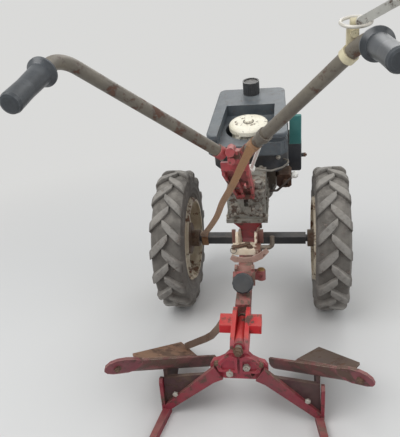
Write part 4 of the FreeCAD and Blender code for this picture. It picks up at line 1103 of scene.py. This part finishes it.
@dataclass
class Tyre:
    """A tyre's carcass and its two rows of bar lugs, half a step apart.

    Sizes are in millimetres and degrees.  The outline gives distances from the
    wheel's middle plane with their radii, from the crown to the bead.
    """

    side: Side
    outline: tuple[Limits, ...] = (
        (0.0, 234.0), (26.0, 233.2), (40.0, 230.5), (48.0, 224.5), (52.0, 214.0), (52.8, 206.5),
        (54.0, 205.0), (54.0, 202.5), (53.0, 201.0), (52.8, 187.0), (53.6, 185.5), (53.4, 183.0),
        (52.2, 181.5), (50.4, 168.0), (51.0, 165.5), (49.4, 162.5), (47.0, 158.5), (46.4, 153.4),
        (43.6, 151.8), (43.4, 144.5))
    steps: int = 120
    smooth: float = 32.0
    lug_count: int = 16
    lug_cuts: int = 8
    lug_inner: float = -10.0
    lug_outer: float = 53.6
    lug_width: float = 22.5
    inner_width: float = 0.66
    inner_until: float = 8.0
    flare: float = 3.2
    sweep: float = 45.0
    tip: float = 248.0
    foot: float = 227.0
    shoulder_from: float = 37.0
    tip_fall: float = 13.0
    foot_fall: float = 26.0
    fall_power: float = 1.6
    edge: float = 2.8

    def build(self) -> None:
        """Makes the tyre in place of its plain solid."""
        bm = bmesh.new()
        self.carcass(bm)
        step = math.tau / self.lug_count
        for row, start in ((-1, step / 2), (1, 0.0)):
            for index in range(self.lug_count):
                self.lug(bm, row, start + index * step)
        name = self.side.label()
        tyre = finished(bm, f"lugged_tyre_{name}", self.side.wheel(), RUBBER, self.smooth)
        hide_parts(f"tyre_{name}")

    def carcass(self, bm: Mesh) -> None:
        """Spins the carcass round the axle from its closed outline.

        Args:
            bm: the empty mesh to add to.
        """
        half = [Vector((x, 0.0, radius)) * MM for x, radius in self.outline]
        ring = half[::-1] + [Vector((-point.x, 0.0, point.z)) for point in half[1:]]
        verts = [bm.verts.new(point) for point in ring]
        edges = [bm.edges.new(pair) for pair in zip(verts, verts[1:] + verts[:1])]
        bmesh.ops.spin(bm, geom=verts + edges, cent=ORIGIN, axis=(1, 0, 0), angle=math.tau, steps=self.steps,
                       use_merge=True)
        bmesh.ops.translate(bm, verts=bm.verts, vec=DATUM.wheel(self.side, 0.0, 0.0, 0.0))

    def lug(self, bm: Mesh, row: int, angle: float) -> None:
        """Adds one bar lug, from a bevelled bar that is wrapped on the carcass.

        Args:
            bm: the mesh to add to.
            row: 1 for the row away from the machine, -1 for the row beside it.
            angle: where the lug crosses the middle plane, in radians.
        """
        reach, tall = self.lug_outer - self.lug_inner, self.tip - self.foot
        bar = bmesh.new()
        add_block(bar, (reach, self.lug_width, tall))
        along = [edge for edge in bar.edges if abs(edge.verts[0].co.x - edge.verts[1].co.x) > reach / 2]
        bmesh.ops.subdivide_edges(bar, edges=along, cuts=self.lug_cuts, use_grid_fill=True)
        bevel(bar, [edge for edge in bar.edges if edge.calc_face_angle(0.0) > SHARP
                    and max(vert.co.z for vert in edge.verts) > 0.0], self.edge)
        for vert in bar.verts:
            vert.co = self.wrapped(vert.co, reach, tall, row, angle)
        mesh = bpy.data.meshes.new("lug")
        bar.to_mesh(mesh)
        bar.free()
        bm.from_mesh(mesh)
        bpy.data.meshes.remove(mesh)

    def wrapped(self, place: Vector, reach: float, tall: float, row: int, angle: float) -> Vector:
        """Moves a point of the straight bar onto the tyre.

        Args:
            place: the point, about the bar's middle.
            reach: the bar's length.
            tall: the bar's height.
            row: which row the lug is in.
            angle: where the lug crosses the middle plane, in radians.

        Returns:
            The point in the scene's frame.
        """
        out = place.x + reach / 2 + self.lug_inner
        height = place.z / tall + 0.5
        past = max(0.0, (out - self.shoulder_from) / (self.lug_outer - self.shoulder_from))
        past **= self.fall_power
        top = self.tip - self.tip_fall * past
        bottom = self.foot - self.foot_fall * past
        radius = bottom + (top - bottom) * height
        spread = place.y * (1.0 + 2.0 * self.flare / self.lug_width * (1.0 - height))
        if out < self.inner_until:
            widened = (out - self.lug_inner) / (self.inner_until - self.lug_inner)
            spread *= self.inner_width + (1.0 - self.inner_width) * widened
        lean = math.radians(self.sweep)
        turn = angle + (math.tan(lean) * out + spread / math.cos(lean)) / self.tip
        return DATUM.wheel(self.side, row * out, radius * math.sin(turn), -radius * math.cos(turn))


@dataclass
class Wheel:
    """Nuts and valve of one wheel, in millimetres.

    The valve's parts give where they start, their radius, their length and their edge.
    """

    side: Side
    stud_circle: float = 42.0
    disc_out: float = -29.0
    nuts: int = 5
    nut_sizes: tuple[float, ...] = (17, 10, 24, 3)
    valve_at: Point = (12.0, 0.0, 138.0)
    valve_lean: Limits = (0.8, -0.6)
    valve_parts: tuple[tuple[float, ...], ...] = ((0.0, 5.0, 12.0, 1.0), (12.0, 3.4, 16.0, 0.6))
    valve_sides: int = 16

    def build(self) -> None:
        """Makes the wheel's small parts."""
        name, body = self.side.label(), self.side.wheel()
        bolts = []
        for index in range(self.nuts):
            angle = math.tau * index / self.nuts
            y, z = self.stud_circle * math.cos(angle), self.stud_circle * math.sin(angle)
            place = DATUM.wheel(self.side, self.disc_out, y, z)
            bolts.append(Bolt(place, self.side.outwards(), *self.nut_sizes))
        BoltSet(f"wheel_nuts_{name}", body, BOLT_RUST, bolts).build()
        bm = bmesh.new()
        foot = DATUM.wheel(self.side, *self.valve_at)
        out, down = self.valve_lean
        way = Vector((self.side.value * out, 0.0, down))
        for start, radius, length, edge in self.valve_parts:
            add_disc(bm, facing(foot + way * start * MM, way), radius, length, self.valve_sides, edge)
        finished(bm, f"valve_{name}", body, CAP_BLACK)


@dataclass
class Driveline:
    """Bolts of the final drive, gearbox and clutch bell, in millimetres and degrees of the chassis."""

    flange_half: float = 59.0
    flange_y: tuple[float, ...] = (-140.0, -92.0, -58.0, -24.0, 6.0)
    flange_z: float = 204.0
    flange_sizes: tuple[float, ...] = (10, 5, 15)
    rear_at: Point = (44.0, -150.0, 216.0)
    rear_sizes: tuple[float, ...] = (10, 5)
    cap_at: Point = (34.0, -162.0, 242.0)
    cap_circle: float = 13.0
    cap_angles: tuple[float, ...] = (30.0, 150.0, 270.0)
    cap_sizes: tuple[float, ...] = (8, 4)
    case_half: float = 25.0
    case_at: tuple[Limits, ...] = (
        (-70.0, 60.0), (-30.0, -30.0), (24.0, -28.0), (30.0, 30.0), (30.0, 90.0), (-96.0, 110.0))
    case_sizes: tuple[float, ...] = (13, 6, 18)

    def build(self) -> None:
        """Makes the driveline's bolts."""
        bolts = []
        for side in Side:
            for y in self.flange_y:
                place = DATUM.chassis(side.value * self.flange_half, y, self.flange_z)
                bolts.append(Bolt(place, CHASSIS_UP, *self.flange_sizes))
        x, y, z = self.rear_at
        for side in Side:
            bolts.append(Bolt(DATUM.chassis(side.value * x, y, z), CHASSIS_REAR, *self.rear_sizes))
        x, y, z = self.cap_at
        for side in Side:
            for angle in map(math.radians, self.cap_angles):
                across, rise = self.cap_circle * math.cos(angle), self.cap_circle * math.sin(angle)
                place = DATUM.chassis(side.value * x + across, y, z + rise)
                bolts.append(Bolt(place, CHASSIS_REAR, *self.cap_sizes))
        BoltSet("gearbox_bolts", Body.ROOT, BOLT_STEEL, bolts).build()
        drive = []
        for side in Side:
            for y, z in self.case_at:
                place = DATUM.chassis(side.value * self.case_half, y, z)
                drive.append(Bolt(place, side.outwards(), *self.case_sizes))
        BoltSet("drive_bolts", Body.ROOT, BOLT_RUST, drive).build()


@dataclass
class Engine:
    """Screws and trim of the engine's housings, in millimetres and degrees of the chassis."""

    shroud_y: float = 20.0
    shroud_at: tuple[Limits, ...] = ((-60.0, 282.0), (40.0, 282.0), (-86.0, 318.0), (96.0, 318.0))
    shroud_sizes: tuple[float, ...] = (10, 5, 15)
    starter_y: float = 116.0
    starter_top: float = 400.4
    ear_top: float = 377.0
    ear_circle: float = 66.0
    ear_angles: tuple[float, ...] = (0.0, 120.0, 240.0)
    ear_sizes: tuple[float, ...] = (8, 5, 13)
    filter_at: Point = (180.0, 158.0, 244.0)
    filter_sizes: tuple[float, ...] = (13, 7, 0, 4)
    ring_radius: float = 16.5
    ring_wire: float = 1.6
    ring_steps: int = 64

    def build(self) -> None:
        """Makes the engine's trim."""
        screws = [Bolt(DATUM.chassis(x, self.shroud_y, z), CHASSIS_REAR, *self.shroud_sizes)
                  for x, z in self.shroud_at]
        for angle in map(math.radians, self.ear_angles):
            x, y = self.ear_circle * math.cos(angle), self.starter_y + self.ear_circle * math.sin(angle)
            screws.append(Bolt(DATUM.chassis(x, y, self.ear_top), CHASSIS_UP, *self.ear_sizes))
        BoltSet("engine_screws", Body.ROOT, BOLT_STEEL, screws).build()
        nut = Bolt(DATUM.chassis(*self.filter_at), RIGHT, *self.filter_sizes)
        BoltSet("filter_nut", Body.ROOT, BOLT_RUST, [nut]).build()
        place = facing(DATUM.chassis(0.0, self.starter_y, self.starter_top), CHASSIS_UP)
        ring = wire_ring(place, self.ring_radius, self.ring_wire, self.ring_steps)
        finished(ring, "starter_ring", Body.ROOT, CABLE_GREY)


@dataclass
class Hitch:
    """Fasteners, flanges, pin link and brass bush of the hitch, in millimetres about the axle."""

    bolts: tuple[BoltRow, ...] = (
        ((-33, -140, 325), LEFT, (15, 7, 22)), ((33, -140, 325), RIGHT, (15, 7, 22)),
        ((-33, -205, 342), LEFT, (13, 6, 18)), ((33, -205, 342), RIGHT, (13, 6, 18)),
        ((12, -272, 340), UP, (13, 6, 20)))
    bush_at: Point = (46.0, -316.0, 288.0)
    bush_radius: float = 10.5
    bush_tall: float = 4.0
    bush_sides: int = 28
    bush_edge: float = 1.0
    plate_top: float = 340.0
    flange_spans: tuple[Limits, ...] = ((-45.0, -33.0), (33.0, 51.0))
    flange_y: float = -236.0
    flange_wall: float = 6.0
    flange_tall: float = 44.0
    flange_edge: float = 1.2
    link_start: Point = (-34.0, -283.0, 346.0)
    link_end: Point = (4.0, -262.0, 347.0)
    link_width: float = 13.0
    link_wall: float = 6.0
    link_edge: float = 1.8
    eye_radius: float = 8.5
    eye_tall: float = 9.0
    eye_drop: float = 4.0
    eye_sides: int = 24
    eye_edge: float = 1.0
    ring_offset: Point = (-2.0, -8.5, -6.0)
    ring_axis: Point = (0.15, -1.0, 0.25)
    ring_radius: float = 9.0
    ring_wire: float = 1.4
    ring_steps: int = 48

    def build(self) -> None:
        """Makes the hitch's small parts."""
        BoltSet("hitch_bolts", Body.ROOT, BOLT_RUST, ground_bolts(self.bolts)).build()
        bm = bmesh.new()
        place = facing(DATUM.ground(*self.bush_at), UP)
        add_disc(bm, place, self.bush_radius, self.bush_tall, self.bush_sides, self.bush_edge)
        finished(bm, "brass_bush", Body.ROOT, BRASS)
        self.flanges()
        self.pin_link()

    def flanges(self) -> None:
        """Makes the outward flanges of the cheeks."""
        bm = bmesh.new()
        for near, far in self.flange_spans:
            made = add_block(bm, Vector((far - near, self.flange_wall, self.flange_tall)) * MM)
            middle = DATUM.ground((near + far) / 2, self.flange_y, self.plate_top + self.flange_tall / 2)
            bmesh.ops.translate(bm, vec=middle, verts=made)
        bevel(bm, [edge for edge in bm.edges if edge.calc_face_angle(0.0) > SHARP], self.flange_edge * MM)
        finished(bm, "cheek_flanges", Body.ROOT, FLANGE_RUST)

    def pin_link(self) -> None:
        """Makes the link on the cross plate and the ring that hangs from it."""
        bm = bmesh.new()
        start, end = DATUM.ground(*self.link_start), DATUM.ground(*self.link_end)
        add_block(bm, ((end - start).length, self.link_width * MM, self.link_wall * MM))
        bevel(bm, bm.edges, self.link_edge * MM)
        turn = (end - start).to_track_quat("X", "Z").to_matrix().to_4x4()
        bmesh.ops.transform(bm, matrix=Matrix.Translation((start + end) / 2) @ turn, verts=bm.verts)
        for eye in (start, end):
            place = facing(eye - UP * self.eye_drop * MM, UP)
            add_disc(bm, place, self.eye_radius, self.eye_tall, self.eye_sides, self.eye_edge)
        finished(bm, "pin_link", Body.ROOT, BOLT_RUST)
        hung = facing(start + Vector(self.ring_offset) * MM, Vector(self.ring_axis))
        ring = wire_ring(hung, self.ring_radius, self.ring_wire, self.ring_steps)
        finished(ring, "pin_ring", Body.ROOT, CABLE_GREY)


@dataclass
class Plough:
    """Bolts of the plough's yoke, legs and tail plates, in millimetres about the axle.

    The rows of both sides are written for the right-hand one.
    """

    bright: tuple[BoltRow, ...] = (
        ((-24, -604, 145), REAR, (17, 10, 0, 5)), ((20, -605, 165), REAR, (17, 9, 0, 5)))
    bright_sides: tuple[BoltRow, ...] = (((172, -614, 74), REAR, (13, 5)),)
    dull: tuple[BoltRow, ...] = (
        ((55, -602, 171), REAR, (15, 6, 0, 3)), ((-56, -602, 171), REAR, (15, 6, 0, 3)),
        ((0, -604, 210), REAR, (19, 9, 26, 4)))
    dull_sides: tuple[BoltRow, ...] = (
        ((150, -592, 90), FORWARD, (13, 6, 18)), ((284.3, -702.2, 220.8), TAIL_WAY, (13, 6, 20, 3)),
        ((243.5, -665.5, 222.0), TAIL_WAY, (11, 5, 0, 2)))

    def build(self) -> None:
        """Makes the plough's fasteners."""
        bright = [*self.bright, *mirrored(self.bright_sides)]
        BoltSet("yoke_bolts", Body.PLOUGH, BOLT_STEEL, ground_bolts(bright)).build()
        dull = [*self.dull, *mirrored(self.dull_sides)]
        BoltSet("plough_bolts", Body.PLOUGH, BOLT_RUST, ground_bolts(dull)).build()


@dataclass
class Webbing:
    """The tie strap: a loop round the right-hand bar, a slack run and a loop round the beam.

    Sizes are in millimetres and degrees, shares in parts of the run.
    """

    width: float = 22.0
    wall: float = 2.4
    smooth: float = 60.0
    strands: tuple[float, ...] = (-1.0, -0.5, 0.0, 0.5, 1.0)
    run: tuple[Point, ...] = (
        (43.6, -508.9, 707.5), (18.0, -491.0, 657.0), (-10.0, -470.0, 601.0), (-46.0, -400.0, 532.5),
        (-77.8, -320.0, 457.0), (-130.9, -200.0, 360.0), (-161.0, -100.0, 306.0), (-169.0, -42.0, 272.0),
        (-170.0, -16.0, 265.0))
    run_steps: int = 8
    broad: Point = (0.85, -0.115, -0.515)
    flat: Point = (1.0, 0.0, 0.0)
    flat_from: float = 0.55
    gather: float = 0.24
    gather_pace: float = 1.1
    gather_power: float = 0.7
    bar_root: Point = (27.0, -470.0, 685.0)
    bar_bend: Point = (262.0, -716.0, 944.0)
    bar_loop_at: float = 44.0
    bar_steps: int = 48
    bar_from: float = -200.0
    bar_step: float = 9.5
    bar_radius: float = 14.6
    bar_growth: float = 2.0
    bar_shift: float = 1.0
    beam_x: float = -170.0
    beam_half: float = 17.0
    beam_ends: Limits = (-3.0, -8.0)
    beam_steps: int = 6
    beam_flat: float = 14.5
    beam_corner: float = 2.6

    def build(self) -> None:
        """Makes the strap in place of its plain solid."""
        bm = bmesh.new()
        weave = bm.loops.layers.uv.new("weave")
        for part in (self.slack_run, self.bar_loop, self.beam_loop):
            self.ribbon(bm, weave, *part())
        strap = finished(bm, "webbing_strap", Body.ROOT, WebbingFinish(), self.smooth)
        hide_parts("tie_strap")

    def ribbon(self, bm: Mesh, weave: bmesh.types.BMLayerItem, spine: Sequence[Vector],
               across: Sequence[Vector]) -> None:
        """Adds a flat band along a spine, with its wall and its weave coordinates.

        Args:
            bm: the mesh to add to.
            weave: the UV layer.
            spine: points along the band's middle.
            across: the band's half-width vectors at those points.
        """
        before = set(bm.faces)
        row = [bm.verts.new(spine[0] + across[0] * share) for share in self.strands]
        for pair in zip(row, row[1:]):
            bm.edges.new(pair)
        gaps = len(row) - 1
        length = 0.0
        for here, there, side in zip(spine, spine[1:], across[1:]):
            edges = [next(e for e in a.link_edges if e.other_vert(a) is b) for a, b in zip(row, row[1:])]
            made = bmesh.ops.extrude_edge_only(bm, edges=edges)["geom"]
            fresh = [item for item in made if isinstance(item, bmesh.types.BMVert)]
            fresh.sort(key=lambda vert: (vert.co - row[0].co).length)
            span = (there - here).length
            for vert, share in zip(fresh, self.strands):
                vert.co = there + side * share
            for face in (item for item in made if isinstance(item, bmesh.types.BMFace)):
                for loop in face.loops:
                    on_new = loop.vert in fresh
                    place = (fresh if on_new else row).index(loop.vert) / gaps
                    loop[weave].uv = (length + (span if on_new else 0.0), place * self.width * MM)
            length += span
            row = fresh
        band = [face for face in bm.faces if face not in before]
        bmesh.ops.solidify(bm, geom=band, thickness=self.wall * MM)

    def slack_run(self) -> tuple[list[Vector], list[Vector]]:
        """Lays the slack run, smoothed between its stations.

        Returns:
            The band's spine and its half-width vectors.
        """
        knots = [DATUM.ground(*point) for point in self.run]
        spine = [between(knots, index, step / self.run_steps)
                 for index in range(len(knots) - 1) for step in range(self.run_steps)]
        spine.append(knots[-1])
        broad = Vector(self.broad).normalized()
        across = []
        for index in range(len(spine)):
            share = index / (len(spine) - 1)
            flattened = max(0.0, (share - self.flat_from) / (1.0 - self.flat_from))
            lean = broad.lerp(Vector(self.flat), flattened).normalized()
            swell = math.sin(math.pi * min(1.0, share * self.gather_pace)) ** self.gather_power
            across.append(lean * self.width / 2 * MM * (1.0 - self.gather * swell))
        return spine, across

    def bar_loop(self) -> tuple[list[Vector], list[Vector]]:
        """Winds the turn round the handlebar tube, with a second lap over it.

        Returns:
            The band's spine and its half-width vectors.
        """
        root, bend = DATUM.ground(*self.bar_root), DATUM.ground(*self.bar_bend)
        heading = (bend - root).normalized()
        place = facing(root + heading * self.bar_loop_at * MM, heading)
        spine = []
        for step in range(self.bar_steps + 1):
            share = step / self.bar_steps
            angle = math.radians(self.bar_from + step * self.bar_step)
            radius = self.bar_radius + self.bar_growth * share
            point = Vector((radius * math.cos(angle), radius * math.sin(angle), self.bar_shift * share))
            spine.append(place @ (point * MM))
        return spine, [heading * self.width / 2 * MM] * len(spine)

    def beam_loop(self) -> tuple[list[Vector], list[Vector]]:
        """Winds the turn round the square beam, with rounded corners.

        Returns:
            The band's spine and its half-width vectors.
        """
        half = self.beam_half
        first, last = self.beam_ends
        turns = [(half, first), (half, -half), (-half, -half), (-half, half), (half, half), (half, last)]
        spine = []
        for (y0, z0), (y1, z1) in zip(turns, turns[1:]):
            for step in range(self.beam_steps):
                share = step / self.beam_steps
                y, z = y0 + (y1 - y0) * share, z0 + (z1 - z0) * share
                reach = math.hypot(*(max(abs(part) - self.beam_flat, 0.0) for part in (y, z)))
                pull = self.beam_corner / reach if reach > self.beam_corner else 1.0
                spine.append(DATUM.chassis(self.beam_x, self.rounded(y, pull), self.rounded(z, pull)))
        return spine, [Vector((self.width / 2 * MM, 0.0, 0.0))] * len(spine)

    def rounded(self, part: float, pull: float) -> float:
        """Draws a coordinate near the beam's corner inwards.

        Args:
            part: the coordinate.
            pull: what is left of its distance past the flat.

        Returns:
            The coordinate on the rounded corner.
        """
        past = abs(part) - self.beam_flat
        return math.copysign(self.beam_flat + past * pull, part) if past > 0.0 else part


def between(knots: Sequence[Vector], index: int, share: float) -> Vector:
    """Gives a point of the smooth curve through a row of points.

    Args:
        knots: the points.
        index: the point that the curve has just passed.
        share: how far it is on the way to the next one, from 0 to 1.

    Returns:
        The point.
    """
    before, start, end = knots[max(index - 1, 0)], knots[index], knots[index + 1]
    after = knots[min(index + 2, len(knots) - 1)]
    linear = (end - before) * share
    square = (2 * before - 5 * start + 4 * end - after) * share ** 2
    cube = (3 * start - before - 3 * end + after) * share ** 3
    return 0.5 * (2 * start + linear + square + cube)


# Studio

@dataclass(frozen=True)
class Lamp:
    """A square soft lamp, in metres and watts."""

    name: str
    place: Point
    size: float
    power: float

    def build(self, target: Vector) -> None:
        """Makes the lamp and turns it to what it lights.

        Args:
            target: where it points.
        """
        lamp = bpy.data.lights.new(self.name, "AREA")
        lamp.size = self.size
        lamp.energy = self.power
        holder = bpy.data.objects.new(self.name, lamp)
        spot = Vector(self.place)
        turn = (target - spot).to_track_quat("-Z", "Y").to_matrix().to_4x4()
        holder.matrix_world = Matrix.Translation(spot) @ turn
        bpy.context.scene.collection.objects.link(holder)


@dataclass
class Studio:
    """Pale floor, soft light and the camera at the photograph's view.

    The camera's place is in millimetres about the axle, all else in metres.
    """

    camera_at: Point = (131.0, -1647.0, 999.0)
    right: Point = (0.98446, 0.15912, -0.07441)
    up: Point = (0.00845, 0.38026, 0.92486)
    forward: Point = (-0.1755, 0.9111, -0.3730)
    lens: float = 41.52
    sensor: float = 36.0
    clip_start: float = 0.02
    floor_size: float = 60.0
    floor_colour: Colour = (0.62, 0.62, 0.61, 1.0)
    floor_rough: float = 0.95
    backdrop: Colour = (0.70, 0.70, 0.69, 1.0)
    blend_from: float = 0.9
    blend_to: float = 2.6
    sky: Colour = (0.80, 0.82, 0.85, 1.0)
    sky_strength: float = 0.55
    target: Point = (0.0, 0.0, 0.35)
    lamps: tuple[Lamp, ...] = (
        Lamp("key", (-1.6, -1.8, 3.4), 2.6, 95.0), Lamp("fill", (2.6, -1.0, 2.2), 3.0, 38.0),
        Lamp("back", (0.6, 3.0, 2.8), 2.6, 45.0))

    def build(self) -> None:
        """Makes the floor, lamps, world and camera."""
        self.floor()
        for lamp in self.lamps:
            lamp.build(Vector(self.target))
        self.world()
        self.camera()
        bpy.context.scene.view_settings.view_transform = "Standard"

    def floor(self) -> None:
        """Makes the floor, which turns into the backdrop away from the machine."""
        bm = bmesh.new()
        bmesh.ops.create_grid(bm, x_segments=1, y_segments=1, size=self.floor_size / 2)
        floor = placed_object(bm, "floor")
        pale, g, shader = blank_material("pale_floor")
        shader.inputs["Base Color"].default_value = self.floor_colour
        shader.inputs["Roughness"].default_value = self.floor_rough
        distance = g.measure("LENGTH", g.add("ShaderNodeTexCoord").outputs["Object"])
        share = g.times(g.span(distance, self.blend_from, self.blend_to), self.seen(g))
        glow = g.add("ShaderNodeEmission", Color=self.backdrop, Strength=1.0)
        blend = g.add("ShaderNodeMixShader", Fac=share)
        for socket, source in zip(blend.inputs[1:], (shader, glow)):
            g.feed(socket, source.outputs[0])
        g.feed(pale.node_tree.nodes["Material Output"].inputs["Surface"], blend.outputs["Shader"])
        floor.data.materials.append(pale)

    def seen(self, g: Graph) -> Socket:
        """Adds a mask of the rays that show the background.

        Args:
            g: the tree to add to.

        Returns:
            The mask's socket.
        """
        path = g.add("ShaderNodeLightPath").outputs
        direct = g.math("MAXIMUM", path["Is Camera Ray"], path["Is Glossy Ray"])
        return g.math("MAXIMUM", direct, path["Is Transmission Ray"])

    def world(self) -> None:
        """Makes the soft sky light and the pale background."""
        world = bpy.data.worlds.new("soft_sky")
        world.use_nodes = True
        bpy.context.scene.world = world
        ground = world.node_tree.nodes["Background"]
        g = Graph(world.node_tree)
        seen = self.seen(g)
        g.feed(ground.inputs["Color"], g.mix(seen, self.sky, self.backdrop))
        g.feed(ground.inputs["Strength"], g.plus(g.times(seen, 1.0 - self.sky_strength), self.sky_strength))

    def camera(self) -> None:
        """Makes the camera from its measured place and directions."""
        data = bpy.data.cameras.new("camera")
        data.lens = self.lens
        data.sensor_width = self.sensor
        data.sensor_fit = "AUTO"
        data.clip_start = self.clip_start
        holder = bpy.data.objects.new("camera", data)
        turn = Matrix((self.right, self.up, -Vector(self.forward))).transposed().to_4x4()
        holder.matrix_world = Matrix.Translation(DATUM.ground(*self.camera_at)) @ turn
        bpy.context.scene.collection.objects.link(holder)
        bpy.context.scene.camera = holder


def main() -> None:
    """Loads the frame, dresses it and adds the small parts."""
    logging.basicConfig(level=logging.INFO, format="%(name)s %(message)s")
    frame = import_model()
    Studio().build()
    CadDress().build(frame["nodes"])
    for side in Side:
        Tyre(side).build()
        Wheel(side).build()
    for assembly in (Driveline(), Engine(), Hitch(), Plough(), Webbing()):
        LOG.info("building %s", type(assembly).__name__)
        assembly.build()


if __name__ == "__main__":
    main()
